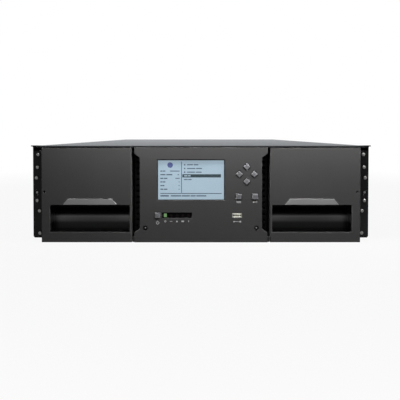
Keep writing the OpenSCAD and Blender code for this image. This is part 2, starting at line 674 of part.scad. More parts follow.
// A half-inch tape cartridge lying flat, its grip end towards the aisle
module cartridge() {
    c = 2.2;
    difference() {
        linear_extrude(cart_h) polygon([[0, c + 4], [c, c], [c + 6, 0], [cart_l - 1, 0],
            [cart_l, 1], [cart_l, cart_w - 1], [cart_l - 1, cart_w],
            [c + 6, cart_w], [c, cart_w - c], [0, cart_w - c - 4]]);
        // label recess on the grip end and grip notches in both sides
        translate([-1, 14, 5]) cube([1.6, cart_w - 28, cart_h - 9]);
        for (y = [-1, cart_w - 1.6]) translate([9, y, cart_h / 2 - 4]) cube([7, 2.6, 8]);
        // hub opening underneath
        translate([cart_l / 2, cart_w / 2, -1]) cylinder(d = 30, h = 3);
        // raised band along the top is left between two shallow steps
        for (y = [-1, cart_w - 12]) translate([20, y, cart_h - 0.6]) cube([cart_l, 13, 2]);
    }
}
module cartridges(s) {
    first_y = tray_y0 + shelf_t + (col_pitch - cart_w) / 2;
    color([0.13, 0.13, 0.14]) side(s) for (c = [0:n_cols - 1], r = [0:n_rows - 1])
        translate([tray_x0 + cart_in, first_y + c * col_pitch, slot_z + r * row_pitch]) cartridge();
}
module magazine_runners() {
    w = 9;
    color(nylon) for (s = [-1, 1]) side(s) {
        // each runner is a channel with an upstanding outer edge
        along_y(pan_y0 + 8, tray_y0 + tray_l) polygon([
            [tray_x1 - w, floor_t], [wall_x, floor_t], [wall_x, tray_z0 + 12], [tray_x1 + 1, tray_z0 + 12],
            [tray_x1 + 1, floor_t + guide_h], [tray_x1 - w, floor_t + guide_h]]);
        along_y(front_post_y + post_w, tray_y0 + tray_l) polygon([
            [tray_x0 - 1.4, floor_t], [tray_x0 + w, floor_t], [tray_x0 + w, floor_t + guide_h],
            [tray_x0 - 0.8, floor_t + guide_h], [tray_x0 - 0.8, tray_z0 + 1], [tray_x0 - 1.4, tray_z0 + 1]]);
    }
}
module magazine_locks() {
    ly = tray_y0 + tray_l + 2;
    len = 20;
    lx = (tray_x0 + tray_x1) / 2 - 20;
    for (s = [-1, 1]) side(s) {
        // bracket on the floor of the pan, solenoid and its bolt towards the tray
        color(zinc) difference() {
            box(lx, lx + 32, ly, ly + len, floor_t, 34);
            box(lx - 1, lx + 33, ly + sheet_t, ly + len - sheet_t, floor_t + sheet_t, 36);
            rod_y(lx + 16, 22, 7.4, ly - 1, ly + 3);
        }
        color(steel) box(lx + 5, lx + 27, ly + sheet_t, ly + len - sheet_t, floor_t + sheet_t, 30);
        color(black) rod_y(lx + 16, 22, 7, ly - 1.6, ly + sheet_t);
    }
}

// ---------------------------------------------------------------- lift
rack_n = floor((unit_h - 12) / (PI * lift_m));
rack_z0 = shaft_z - floor((shaft_z - floor_t - 1) / (PI * lift_m)) * PI * lift_m;
module lift_racks() {
    for (s = [-1, 1], y = [front_post_y, rear_post_y]) side(s) {
        color(nylon) translate([rack_x, y + post_w / 2, rack_z0]) rotate([90, 0, 0]) linear_extrude(post_w)
            polygon(rack_points(rack_n, lift_m, rack_back, 0.1));
        color(zinc) {
            box(post_x0, post_x1, y - post_w / 2, y + post_w / 2, floor_t, cover_z - 1.2);
            box(post_x0 - 14, post_x1, y - post_w / 2, y + post_w / 2, floor_t, floor_t + 0.8);
        }
    }
}
lift_y0 = front_post_y - post_w / 2 + 1;
lift_y1 = rear_post_y + post_w / 2 - 1;
module lift_frame() {
    t = 1.2;
    tie = 14;
    color(zinc) difference() {
        union() {
            for (s = [-1, 1]) side(s) {
                // channel beam, open towards the magazines
                along_y(lift_y0 + post_w, beam_y1) polygon([
                    [beam_x0, lift_z], [beam_x0 + beam_w, lift_z], [beam_x0 + beam_w, lift_z + t],
                    [beam_x0 + t, lift_z + t], [beam_x0 + t, lift_z + beam_h - t],
                    [beam_x0 + beam_w, lift_z + beam_h - t], [beam_x0 + beam_w, lift_z + beam_h],
                    [beam_x0, lift_z + beam_h]]);
                // bearing plates near both ends of the beam
                for (y = bearing_ys)
                    box(beam_x0, beam_x0 + beam_w, y - 1.5, y + 1.5, lift_z, lift_z + beam_h);
            }
            // low cross ties that the picker passes above
            for (y = [lift_y0 + post_w + 1, beam_y1 - tie - 2]) {
                box(-beam_x0 - 1, beam_x0 + 1, y, y + tie, lift_z - 0.6, lift_z + 0.4);
                for (s = [-1, 1]) side(s)
                    box(beam_x0 - 1, beam_x0 + beam_w, y, y + tie, lift_z - 0.6, lift_z);
            }
            // upright plate that carries the motor
            box(-beam_x0 - 1, motor_x + 7, beam_y1 - 1.2, beam_y1, lift_z, shaft_z + 5);
            box(-beam_x0 - 1, motor_x + 7, beam_y1 - 3, beam_y1, lift_z - 0.6, lift_z + 0.4);
        }
        rod_y(motor_x, shaft_z, 3, beam_y1 - 4, beam_y1 + 1);
        for (s = [-1, 1], y = bearing_ys) rod_y(s * shaft_x, shaft_z, shaft_d + 2 * shaft_fit, y - 3, y + 3);
    }
}
beam_y1 = lift_y1 - post_w - 12;
bearing_ys = [lift_y0 + post_w + 3, (lift_y0 + lift_y1) / 2, beam_y1 - 3];
gear_fit = 0.02;
belt_r = 3.6;
belt_w = 8;
belt_y = beam_y1 + 1 + belt_w / 2;
motor_x = -beam_x0 + 13;
module lift_shaft(s) {
    color(steel) rod_y(s * shaft_x, shaft_z, shaft_d, lift_y0, lift_y1);
}
// A pinion at each end of a lift shaft, and the belt pulley behind its frame
module lift_gears(s) {
    color(nylon) difference() {
        union() {
            for (y = [front_post_y, rear_post_y])
                translate([s * shaft_x, y + 3, shaft_z]) rotate([90, 0, 0]) linear_extrude(6)
                    rotate(s > 0 ? 0 : 180) polygon(gear_points(pinion_n, lift_m, 0.12));
            rod_y(s * shaft_x, shaft_z, 2 * belt_r, belt_y - belt_w / 2, belt_y + belt_w / 2);
        }
        rod_y(s * shaft_x, shaft_z, shaft_d + 2 * gear_fit, lift_y0 - 9, lift_y1 + 9);
    }
}
module lift_motor() {
    color(black) rod_y(motor_x, shaft_z, 10.4, beam_y1 - 27, beam_y1 - 1.2);
    color(steel) {
        rod_y(motor_x, shaft_z, 2.9, beam_y1 - 1.2, belt_y + belt_w / 2);
        rod_y(motor_x, shaft_z, 2 * belt_r - 0.2, belt_y - belt_w / 2, belt_y + belt_w / 2);
    }
}
// The belt that ties the two lift shafts together runs across the rear of the lift
module lift_belt() {
    t = 0.8;
    color(black) along_y(belt_y - belt_w / 2, belt_y + belt_w / 2) translate([0, shaft_z]) difference() {
        belt_outline(belt_r + t);
        belt_outline(belt_r + 0.05);
    }
}
module belt_outline(r) {
    square([2 * shaft_x, 2 * r], center = true);
    for (s = [-1, 1]) translate([s * shaft_x, 0]) circle(r);
}

// ---------------------------------------------------------------- carriage and picker
turn_dir = -90;
turn_reach = turn_r + turn_pin_r + 0.05;
stroke = tray_x0 + cart_in - 1 - (picker_tail + 3.5);
bar_w = 16;
bar_z = slot_z + cart_h + 3.6;
bar_h = 2.4;
module carriage() {
    foot = 64;
    color(zinc) translate([0, home_y, 0]) {
        difference() {
            union() {
                translate([0, 0, plate_z]) linear_extrude(plate_t) difference() {
                    round_rect(2 * (beam_x0 - 0.5), 2 * foot, 12);
                    for (a = [45:90:315]) rotate(a) translate([52, 0]) circle(9);
                }
                // spigot that the turntable turns on
                translate([0, 0, plate_z]) cylinder(d = 16, h = picker_z - plate_z - 0.2);
            }
            translate([0, 0, plate_z - 1]) cylinder(d = 10, h = 30);
            rotate(turn_dir) translate([turn_reach, 0, plate_z - 1]) cylinder(d = 4, h = 10);
        }
        // side plates folded up beside the beams, with a shoe over each beam
        for (s = [-1, 1]) side(s) for (y = [-foot + 6, foot - 18]) {
            box(beam_x0 - 1.7, beam_x0 - 0.5, y, y + 12, plate_z, lift_z + beam_h + 1.6);
            box(beam_x0 - 1.7, beam_x0 + 1.8, y, y + 12, lift_z + beam_h + run_gap, lift_z + beam_h + 1.6);
        }
    }
}
module turn_motor() {
    color(black) translate([0, home_y, 0]) rotate(turn_dir) translate([turn_reach, 0, plate_z + plate_t]) {
        cylinder(d = 22, h = 2);
        translate([0, 0, 2]) cylinder(d = 2.9, h = picker_z - plate_z - plate_t - 2.3);
    }
}
module turn_pinion() {
    color(steel) translate([0, home_y, 0]) rotate(turn_dir) translate([turn_reach, 0, gear_z + 0.3])
        linear_extrude(picker_z - gear_z - 0.6) difference() {
            rotate(180 / drive_n) polygon(gear_points(drive_n, turn_m, 0.12));
            circle(d = 3);
        }
}
module turntable() {
    color(nylon) translate([0, home_y, 0]) difference() {
        union() {
            translate([0, 0, gear_z]) linear_extrude(picker_z - gear_z)
                polygon(gear_points(turn_n, turn_m, 0.12));
            translate([0, 0, hub_z]) cylinder(r = 28, h = gear_z - hub_z);
        }
        translate([0, 0, hub_z - 1]) cylinder(d = 16 + 2 * shaft_fit, h = 30);
        for (a = [30:60:330]) rotate(a) translate([20, 0, hub_z - 1]) cylinder(d = 11, h = 30);
    }
}
module picker() {
    wall_in = cart_w / 2 + 1.3;
    wall_t = 1.2;
    top_z = bar_z + bar_h + run_gap;
    lead = 12;
    color(black) translate([0, home_y, 0]) {
        // floor, its corners cut by the circle in which it turns
        intersection() {
            translate([0, 0, picker_z]) cylinder(r = picker_r, h = picker_t, $fn = 96);
            difference() {
                box(-wall_in - wall_t, wall_in + wall_t, -picker_r, picker_mouth,
                    picker_z, picker_z + picker_t);
                box(-28, 28, 24, picker_mouth + 1, picker_z - 1, picker_z + 5);
                translate([0, 0, picker_z - 1]) cylinder(d = 20, h = 5);
            }
        }
        // side walls, lower at the mouth, with flared ends
        for (s = [-1, 1]) side(s) along_x(wall_in, wall_in + wall_t) polygon([
            [picker_tail - 3, picker_z], [picker_mouth - 3, picker_z],
            [picker_mouth - 3, slot_z + cart_h - 8],
            [picker_mouth - lead - 6, slot_z + cart_h + 1], [8, slot_z + cart_h + 1], [-4, top_z + 1.2],
            [picker_tail - 3, top_z + 1.2]]);
        // bridge with the channel that the slide hangs in
        difference() {
            union() {
                box(-wall_in - wall_t, wall_in + wall_t, picker_tail - 3, -4, top_z, top_z + 1.2);
                box(-bar_w / 2 - 2, bar_w / 2 + 2, picker_tail - 3, picker_mouth - 6, top_z, top_z + 1.2);
            }
            for (x = [-36, 36]) translate([x, picker_tail + 20, top_z - 1]) cylinder(d = 22, h = 4);
        }
        for (s = [-1, 1]) side(s) along_y(picker_tail - 3, picker_mouth - 6) polygon([
            [bar_w / 2 + run_gap, top_z + 0.2], [bar_w / 2 + run_gap, bar_z - run_gap],
            [bar_w / 2 - 1.5, bar_z - run_gap], [bar_w / 2 - 1.5, bar_z - 1.3],
            [bar_w / 2 + 2, bar_z - 1.3], [bar_w / 2 + 2, top_z + 0.2]]);
    }
}
// The middle stage of the telescopic slide moves half as far as the gripper
module picker_slide() {
    color(steel) translate([0, home_y, 0]) difference() {
        box(-bar_w / 2, bar_w / 2, picker_tail - 8, picker_mouth - 22, bar_z, bar_z + bar_h);
        for (y = [picker_tail + 8:12:picker_mouth - 30]) translate([0, y, bar_z - 1]) cylinder(d = 5, h = 5);
    }
}
module gripper() {
    half = cart_w / 2 + 0.2;
    color(zinc) translate([0, home_y, 0]) {
        difference() {
            box(-half, half, picker_tail - 1.5, picker_tail + 3.5, slot_z + 1.5, slot_z + cart_h - 0.5);
            for (x = [-34, 34]) rod_y(x, slot_z + cart_h / 2, 12, picker_tail - 3, picker_tail + 5);
        }
        box(-4.5, 4.5, picker_tail - 7, picker_tail + 3.5, slot_z + cart_h - 6, bar_z - run_gap);
        // sprung fingers whose hooks catch the notches in a cartridge's sides
        for (s = [-1, 1]) side(s) linear_extrude_at(slot_z + cart_h / 2 - 3, 6) polygon([
            [half, picker_tail - 1.5], [half + 0.8, picker_tail - 1.5], [half + 0.8, picker_tail + 18],
            [half - 1, picker_tail + 16.5], [half - 1, picker_tail + 15], [half, picker_tail + 15]]);
    }
}
module linear_extrude_at(z, h) { translate([0, 0, z]) linear_extrude(h) children(); }

// ---------------------------------------------------------------- rear units
n_drives = 3;
foot_gap = 0.6;
stack_h = cover_z - 1.4 - floor_t;
drive_pitch = stack_h / n_drives;
drive_h = drive_pitch - drive_gap;
function drive_z(i) = floor_t + foot_gap + (i - 1) * drive_pitch;
cage_x = drive_w / 2 + 0.5;
cage_foot = 10;
module drive_cage() {
    top = cover_z - 0.6;
    lip_x = cage_x + cage_foot;
    wall = cage_x + sheet_t;
    hole_d = 16;
    color(zinc) {
        for (s = [-1, 1]) side(s) difference() {
            along_y(drive_y0 - 2, rear_y - sheet_t) polygon([[cage_x, floor_t], [lip_x, floor_t],
                [lip_x, floor_t + sheet_t], [wall, floor_t + sheet_t], [wall, top], [cage_x, top]]);
            for (y = [drive_y0 + 24:28:rear_y - 40], i = [1:n_drives])
                rod_x(y, drive_z(i) + drive_h / 2, hole_d, cage_x - 1, wall + 1);
        }
        // a shelf under each upper drive
        for (i = [2:n_drives])
            box(-cage_x, cage_x, drive_y0 - 2, rear_y - sheet_t, drive_z(i) - 1.1, drive_z(i) - 0.3);
        // shelf between the two power supplies
        box(-wall_x + 0.2, -cage_x - sheet_t, rear_post_y + post_w, rear_y - sheet_t,
            psu_z(1) - 1.5, psu_z(1) - 0.3);
    }
}
// Space inside a housing, behind a closed rear end of depth end_t
module hollow(x0, x1, y0, z0, h, end_t) {
    t = housing_t;
    box(x0 + t, x1 - t, y0 + t, rear_y - end_t, z0 + t, z0 + h - t);
}
module drive(i) {
    z = drive_z(i);
    w = drive_w / 2;
    mouth_x = cart_w / 2 + 1.5;
    mouth_y = drive_y0 + 96;
    mouth_z0 = z + 8;
    mouth_z1 = mouth_z0 + cart_h + 3;
    lever_z = z + drive_h;
    grip_y = rear_y + handle_out;
    color([0.3, 0.3, 0.31]) difference() {
        box(-w, w, drive_y0, rear_y, z, z + drive_h);
        difference() {
            hollow(-w, w, drive_y0, z, drive_h, 16);
            // walls of the tunnel that a cartridge goes into
            box(-mouth_x - housing_t, mouth_x + housing_t, drive_y0, mouth_y,
                mouth_z0 - housing_t, mouth_z1 + housing_t);
        }
        box(-mouth_x, mouth_x, drive_y0 - 1, mouth_y + 1, mouth_z0, mouth_z1);
        // flared lead-in towards the aisle
        along_x(-mouth_x, mouth_x) polygon([[drive_y0 - 1, z + 5], [drive_y0 + 5, mouth_z0 + 0.5],
            [drive_y0 + 5, mouth_z1 - 0.5], [drive_y0 - 1, mouth_z1 + 3]]);
        // rear face: fan slots, data ports and lamp holes
        for (k = [0:8]) box(-w + 8 + k * 5, -w + 11 + k * 5, rear_y - 6, rear_y + 1, z + 8, lever_z - 8);
        for (k = [0, 1]) box(2 + k * 19, 17 + k * 19, rear_y - 14, rear_y + 1, z + 22, z + 32);
        for (k = [0:2]) rod_y(4 + k * 6, z + 12, 2, rear_y - 2, rear_y + 1);
        // seat of the pull lever
        box(w - 38, w - 6, rear_y - 4, rear_y + 1, z + 5, lever_z - 5);
    }
    // folded pull lever on its pin across the seat
    color(steel) rod_x(rear_y - 2.6, lever_z - 7.4, 1.8, w - 38.5, w - 5.5);
    color(key_grey) along_x(w - 33, w - 11) polygon([[rear_y - 4.3, lever_z - 6],
        [rear_y - 2.4, lever_z - 6], [grip_y - 3, z + 14], [grip_y - 0.5, z + 8], [grip_y - 2, z + 7.4],
        [grip_y - 4.4, z + 13.4], [rear_y - 4.3, lever_z - 8]]);
    color(steel) for (x = [-w + 3.6, w - 2.9]) rod_y(x, lever_z - 4, 4.4, rear_y - 0.5, rear_y + 2.5);
}
// The power supplies lie left of the drives, the controller lies to the right
side_unit_w = wall_x - 3 - cage_x - cage_foot - side_unit_gap;
psu_x0 = 3 - wall_x;
psu_x1 = psu_x0 + side_unit_w;
psu_pitch = stack_h / 2;
psu_h = psu_pitch - psu_gap;
function psu_z(i) = floor_t + foot_gap + i * psu_pitch;
fan_x = psu_x0 + 8 + fan_d / 2;
inlet_x = psu_x1 - 26;
inlet_size = [28, 20.4];
module psu(i) {
    z = psu_z(i);
    zc = z + psu_h / 2;
    inlet_z = z + psu_h - 20;
    grip_y = rear_y + handle_out;
    well_d = 22;
    iw = inlet_size[0] / 2;
    ih = inlet_size[1] / 2;
    chamfer = 5;
    color([0.66, 0.67, 0.69]) difference() {
        union() {
            box(psu_x0, psu_x1, rear_y - psu_l, rear_y, z, z + psu_h);
            // pull handle
            for (x = [inlet_x - 20, inlet_x + 12]) box(x, x + 5, rear_y - 1, grip_y, z + 7, z + 12);
            box(inlet_x - 20, inlet_x + 17, grip_y - 4, grip_y, z + 7, z + 12);
        }
        hollow(psu_x0, psu_x1, rear_y - psu_l, z, psu_h, well_d - 1);
        // fan well, open behind the grille
        rod_y(fan_x, zc, fan_d + 1.4, rear_y - well_d, rear_y - sheet_t);
        fan_grille(zc);
        // power inlet
        along_y(rear_y - 16, rear_y + 1) translate([inlet_x, inlet_z]) polygon([
            [-iw, -ih], [iw, -ih], [iw, ih - chamfer],
            [iw - chamfer, ih], [chamfer - iw, ih], [-iw, ih - chamfer]]);
        rod_y(fan_x + fan_d / 2 + 7, z + 8, 3, rear_y - 2, rear_y + 1);
    }
    // contact blades of the inlet
    color(steel) for (p = [[-7, -2], [0, 3], [7, -2]]) translate([inlet_x + p[0], rear_y, inlet_z + p[1]])
        box(-1, 1, -17, -4, -2, 2);
}
// Ring slots that leave rings and a cross of spokes
module fan_grille(zc) {
    translate([fan_x, rear_y + 1, zc]) rotate([90, 0, 0]) linear_extrude(3) difference() {
        for (r = [8:5:fan_d / 2 - 2]) difference() {
            circle(r + 3.4);
            circle(r);
        }
        for (a = [45, 135]) rotate(a) square([fan_d + 4, 1.6], center = true);
    }
}
module fan(i) {
    hub_r = 9;
    blades = 7;
    zc = psu_z(i) + psu_h / 2;
    color(black) translate([fan_x, rear_y - 3.5, zc]) rotate([90, 0, 0]) {
        cylinder(r = hub_r, h = 16);
        cylinder(d = 4, h = 18.3);
        for (k = [0:blades - 1]) rotate(k * 360 / blades) translate([hub_r - 2, -1, 1]) rotate([34, 0, 0])
            cube([fan_d / 2 - hub_r + 0.6, 1.4, 14]);
    }
}
ctrl_x1 = wall_x - 3;
ctrl_x0 = ctrl_x1 - side_unit_w;
ctrl_z = floor_t + foot_gap;
ctrl_h = cover_z - ctrl_head;
n_ports = 3;
port_w = 16.4;
port_h = 14.4;
port_z = floor_t + 40;
port_pitch = (side_unit_w - 22) / n_ports;
function port_x0(k) = ctrl_x0 + 14 + k * port_pitch;
module controller() {
    y0 = rear_y - ctrl_l;
    slots = 10;
    slot_pitch = (side_unit_w - 22) / slots;
    top = ctrl_z + ctrl_h;
    color([0.66, 0.67, 0.69]) difference() {
        box(ctrl_x0, ctrl_x1, y0, rear_y, ctrl_z, top);
        box(ctrl_x0 + sheet_t, ctrl_x1 - sheet_t, y0 - 1, rear_y - sheet_t, ctrl_z + sheet_t, top + 1);
        // room for the port shells
        for (k = [0:n_ports - 1]) let (x = port_x0(k), g = 1)
            box(x - g, x + port_w + g, rear_y - 8, rear_y + 1, port_z - g, port_z + port_h + g);
        for (k = [0:slots - 1]) let (x = ctrl_x0 + 12 + k * slot_pitch)
            box(x, x + 4, rear_y - 2, rear_y + 1, top - 34, top - 14);
        for (k = [0:3]) rod_y(ctrl_x0 + 14 + k * 7, ctrl_z + 16, 2.2, rear_y - 2, rear_y + 1);
    }
    color(board_green) box(ctrl_x0 + 4, ctrl_x1 - 4, y0 + 4, rear_y - 4, ctrl_z + 8, ctrl_z + 9.6);
    // standoffs under the board
    color(steel) for (x = [ctrl_x0 + 8, ctrl_x1 - 12], y = [y0 + 10, rear_y - 14])
        box(x, x + 4, y, y + 4, ctrl_z + sheet_t - 0.2, ctrl_z + 8.2);
}
module controller_ports() {
    wall = 2;
    color(steel) for (k = [0:n_ports - 1]) let (x = port_x0(k)) difference() {
        box(x, x + port_w, rear_y - 22.2, rear_y - sheet_t, port_z, port_z + port_h);
        box(x + wall, x + port_w - wall, rear_y - 14, rear_y, port_z + 3, port_z + port_h - 3);
    }
    // riser that carries the ports on the board
    color(board_green) box(ctrl_x0 + 10, ctrl_x1 - 18, rear_y - 24, rear_y - 22, ctrl_z + 9.6, port_z + 20);
}
module backplane() {
    y1 = rear_y - psu_l - 10;
    y0 = y1 - 2;
    foot = 14;
    up = floor_t + 26;
    color(board_green) box(psu_x0 + 4, psu_x1 + 12, y0, y1, floor_t + 4, cover_z - 8);
    // plugs that the power supplies slide onto
    color(black) for (i = [0, 1]) let (x = (psu_x0 + psu_x1) / 2)
        box(x - 16, x + 28, y1 - 1, rear_y - psu_l - run_gap, psu_z(i) + 14, psu_z(i) + 24);
    // angle brackets from the floor of the pan
    color(zinc) for (x = [psu_x0 + 10, psu_x1 - 14]) along_x(x, x + 12) polygon([
        [y0 - foot, floor_t], [y0 + 1, floor_t], [y0 + 1, up], [y0 - sheet_t, up],
        [y0 - sheet_t, floor_t + sheet_t], [y0 - foot, floor_t + sheet_t]]);
}
module rear_panel() {
    g = 0.6;
    slots = 13;
    slot_pitch = (side_unit_w - 8) / slots;
    color(zinc) difference() {
        box(-chassis_w / 2, chassis_w / 2, rear_y - sheet_t, rear_y, 0, cover_z);
        for (i = [1:n_drives])
            panel_hole(-drive_w / 2 - g, drive_w / 2 + g, drive_z(i) - 0.25, drive_z(i) + drive_h + g);
        for (i = [0, 1]) panel_hole(psu_x0 - g, psu_x1 + g, psu_z(i) - 0.25, psu_z(i) + psu_h + g);
        panel_hole(ctrl_x0 - g, ctrl_x1 + g, ctrl_z - 0.3, ctrl_z + ctrl_h + g);
        for (k = [0:slots - 1]) let (x = ctrl_x0 + 4 + k * slot_pitch)
            panel_hole(x, x + 4, ctrl_z + ctrl_h + 6, ctrl_z + ctrl_h + 16);
    }
}
module panel_hole(x0, x1, z0, z1) { box(x0, x1, rear_y - 5, rear_y + 1, z0, z1); }
module rear_thumbscrews() {
    z = ctrl_z + ctrl_h - 8;
    color(steel) for (x = [ctrl_x0 + 6, ctrl_x1 - 6]) {
        rod_y(x, z, 8, rear_y, rear_y + 6);
        rod_y(x, z, 3, rear_y + 6, rear_y + 6.5);
    }
}

chassis_pan();
top_cover();
cover_screws();
front_frame();
rear_panel();
rear_thumbscrews();
ear(-1);  // left_rack_ear
ear(1);  // right_rack_ear
ear_screws();
operator_panel();
panel_screws();
side_inlet_grilles();
display();
display_window();
panel_board();
lamp_window();
status_lamps();
data_port();
key(arrows_x, arrows_z + arrow_pitch, arrow_side, 45);  // up_key
key(arrows_x, arrows_z - arrow_pitch, arrow_side, 45);  // down_key
key(arrows_x - arrow_pitch, arrows_z, arrow_side, 45);  // left_key
key(arrows_x + arrow_pitch, arrows_z, arrow_side, 45);  // right_key
key(menu_x, key_z, key_side, 0);  // menu_key
key(enter_x, key_z, key_side, 0);  // enter_key
key(power_x, lamps_z, key_side, 0);  // power_key
door(-1);  // left_door
grip_tab(-1);  // left_grip_tab
magazine(-1);  // left_magazine
cartridges(-1);  // left_cartridges
door(1);  // right_door
grip_tab(1);  // right_grip_tab
magazine(1);  // right_magazine
cartridges(1);  // right_cartridges
magazine_runners();
magazine_locks();
lift_racks();
drive_cage();
lift_frame();
lift_motor();
lift_shaft(-1);  // left_lift_shaft
lift_shaft(1);  // right_lift_shaft
lift_gears(-1);  // left_lift_gears
lift_gears(1);  // right_lift_gears
lift_belt();
carriage();
turn_motor();
turn_pinion();
turntable();
picker();
picker_slide();
gripper();
drive(1);  // drive_1
drive(2);  // drive_2
drive(3);  // drive_3
psu(1);  // upper_power_supply
fan(1);  // upper_fan
psu(0);  // lower_power_supply
fan(0);  // lower_fan
controller();
controller_ports();
backplane();
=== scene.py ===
import json
import math

import bmesh
import bpy
from mathutils import Matrix, Vector


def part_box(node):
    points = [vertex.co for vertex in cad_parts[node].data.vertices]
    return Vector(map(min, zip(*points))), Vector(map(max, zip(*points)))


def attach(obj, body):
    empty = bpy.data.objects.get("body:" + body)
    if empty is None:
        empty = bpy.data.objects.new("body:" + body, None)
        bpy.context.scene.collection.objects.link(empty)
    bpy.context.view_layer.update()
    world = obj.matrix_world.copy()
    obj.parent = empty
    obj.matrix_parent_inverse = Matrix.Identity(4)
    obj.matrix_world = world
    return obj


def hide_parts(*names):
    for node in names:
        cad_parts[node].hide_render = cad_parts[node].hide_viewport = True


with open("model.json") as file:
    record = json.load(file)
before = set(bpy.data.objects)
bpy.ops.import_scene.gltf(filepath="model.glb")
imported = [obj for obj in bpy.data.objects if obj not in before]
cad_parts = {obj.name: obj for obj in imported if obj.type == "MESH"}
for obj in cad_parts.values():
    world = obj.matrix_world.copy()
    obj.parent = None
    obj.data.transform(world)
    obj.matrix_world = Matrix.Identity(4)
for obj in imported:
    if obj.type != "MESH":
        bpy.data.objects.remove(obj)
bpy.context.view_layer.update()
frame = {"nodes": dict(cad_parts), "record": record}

# ---------------------------------------------------------------- studio
# A plain white sweep with soft lamps: a strip light close above the front edge, which makes the
# fascia fade from top to bottom, weak boxes in front, large ones overhead, behind and aside.
MM = 0.001
face_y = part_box("left_door")[0].y
scene = bpy.context.scene
camera_data = bpy.data.cameras.new("studio_camera")
camera_data.lens = 46.3
camera_data.shift_x = 0.005
camera_data.shift_y = -0.1383
camera = bpy.data.objects.new("studio_camera", camera_data)
camera.location = (-0.004, face_y - 0.704, 0.149)
camera.rotation_euler = (math.radians(90 - 1.15), 0, 0)
scene.collection.objects.link(camera)
scene.camera = camera
scene.view_settings.view_transform = "Standard"


class Socket:
    """An output of a shader node. Sums, differences and products on it add Math nodes."""

    def __init__(self, finish, output):
        self.finish = finish
        self.output = output

    def math(self, operation, *values):
        return self.finish.add("Math", {"operation": operation}, *values)

    def __add__(self, other):
        return self.math("ADD", self, other)

    def __sub__(self, other):
        return self.math("SUBTRACT", self, other)

    def __rsub__(self, other):
        return self.math("SUBTRACT", other, self)

    def __mul__(self, other):
        return self.math("MULTIPLY", self, other)

    __radd__ = __add__
    __rmul__ = __mul__


class Finish:
    """One material: its Principled shader and the nodes that feed it."""

    def __init__(self, name, **constants):
        self.material = bpy.data.materials.new(name)
        self.material.use_nodes = True
        self.tree = self.material.node_tree
        self.shader = self.tree.nodes["Principled BSDF"]
        self.feed(**constants)

    def add(self, kind, settings, *inputs, output=0, **named):
        """Adds a node: settings first, then sockets in order (None skips one) or by name."""
        node = self.tree.nodes.new("ShaderNode" + kind)
        for key, value in settings.items():
            setattr(node, key, value)
        for key, value in [*enumerate(inputs), *named.items()]:
            if value is not None:
                key = key.replace("_", " ") if isinstance(key, str) else key
                self.plug(node.inputs[key], value)
        return Socket(self, node.outputs[output])

    def plug(self, socket, value):
        if isinstance(value, Socket):
            self.tree.links.new(value.output, socket)
        else:
            socket.default_value = value

    def feed(self, **sockets):
        """Sets or links sockets of the shader, Base_Color for Base Color."""
        for key, value in sockets.items():
            self.plug(self.shader.inputs[key.replace("_", " ")], value)

    def place(self):
        """Where a point lies on the object, in metres."""
        return self.add("TexCoord", {}, output="Object")

    def noise(self, size, detail=3.0):
        """Cloudy noise whose lumps are about size metres across."""
        return self.add("TexNoise", {}, Vector=self.place(), Scale=1 / size, Detail=detail)

    def drawn_noise(self, sizes):
        """Noise drawn out along the axes, as a rolling mill or a brush leaves it."""
        scale = [1 / size for size in sizes]
        fit = self.add("VectorMath", {"operation": "MULTIPLY"}, self.place(), scale)
        return self.add("TexNoise", {}, Vector=fit, Scale=1.0, Detail=3.0)

    def mix(self, mask, low, high):
        """A colour between low and high, three numbers each."""
        low, high = ((*c, 1) if isinstance(c, tuple) else c for c in (low, high))
        return self.add("Mix", {"data_type": "RGBA"}, mask, *[None] * 5, low, high, output=2)

    def spread(self, value, low, high):
        """Maps a noise value's middle range onto low to high."""
        return self.add("MapRange", {}, value, 0.3, 0.7, low, high)

    def fade(self, value, start, end, low, high):
        """Goes smoothly from low to high as a value goes from start to end."""
        return self.add("MapRange", {"interpolation_type": "SMOOTHSTEP"},
                        value, start, end, low, high)

    def shown(self):
        """One for rays that show the background: from the camera, off gloss or through glass."""
        camera, gloss, glass = (self.add("LightPath", {}, output=f"Is {kind} Ray")
                                for kind in ("Camera", "Glossy", "Transmission"))
        return camera.math("MAXIMUM", camera, camera.math("MAXIMUM", gloss, glass))

    def bump(self, height, depth):
        """Feeds a height map of that depth in metres to the shader's normal."""
        self.feed(Normal=self.add("Bump", {}, Strength=1.0, Distance=depth, Height=height))


def shade(colour, factor):
    return tuple(c * factor for c in colour)


def lamp(name, size, place, target, power):
    data = bpy.data.lights.new(name, "AREA")
    data.shape = "RECTANGLE"
    data.size, data.size_y = size
    data.energy = power
    box = bpy.data.objects.new(name, data)
    box.location = place
    box.rotation_euler = (Vector(target) - Vector(place)).to_track_quat("-Z", "Y").to_euler()
    box.visible_camera = False
    scene.collection.objects.link(box)


lamp("strip_above", (0.589, 0.04), (0.12, face_y - 0.042, 0.294),
     (0.115, face_y + 0.1716, 0.0834), 5.7)
lamp("front_left", (0.36, 0.3), (-0.47, face_y - 1.6, 0.72), (-0.1, face_y, 0.04), 0.6)
lamp("front_right", (0.36, 0.3), (0.47, face_y - 1.6, 0.72), (0.1, face_y, 0.04), 0.7)
lamp("box_overhead", (1.4, 1.2), (0, 0.5, 1.6), (0, 0.2, 0), 16.0)
lamp("box_rear", (1.2, 0.8), (-0.4, 1.5, 1.1), (0, 0.4, 0.06), 12.0)
lamp("box_left", (1.0, 0.6), (-1.6, 0.15, 0.5), (-0.2, 0.0, 0.06), 14.0)
lamp("box_right", (1.0, 0.6), (1.6, 0.15, 0.5), (0.2, 0.0, 0.06), 14.0)


def sheet(name, corners):
    mesh = bpy.data.meshes.new(name)
    mesh.from_pydata(corners, [], [(0, 1, 2, 3)])
    piece = bpy.data.objects.new(name, mesh)
    scene.collection.objects.link(piece)
    return piece


world = bpy.data.worlds.new("studio_surround")
world.use_nodes = True
scene.world = world
SURROUND = 0.05


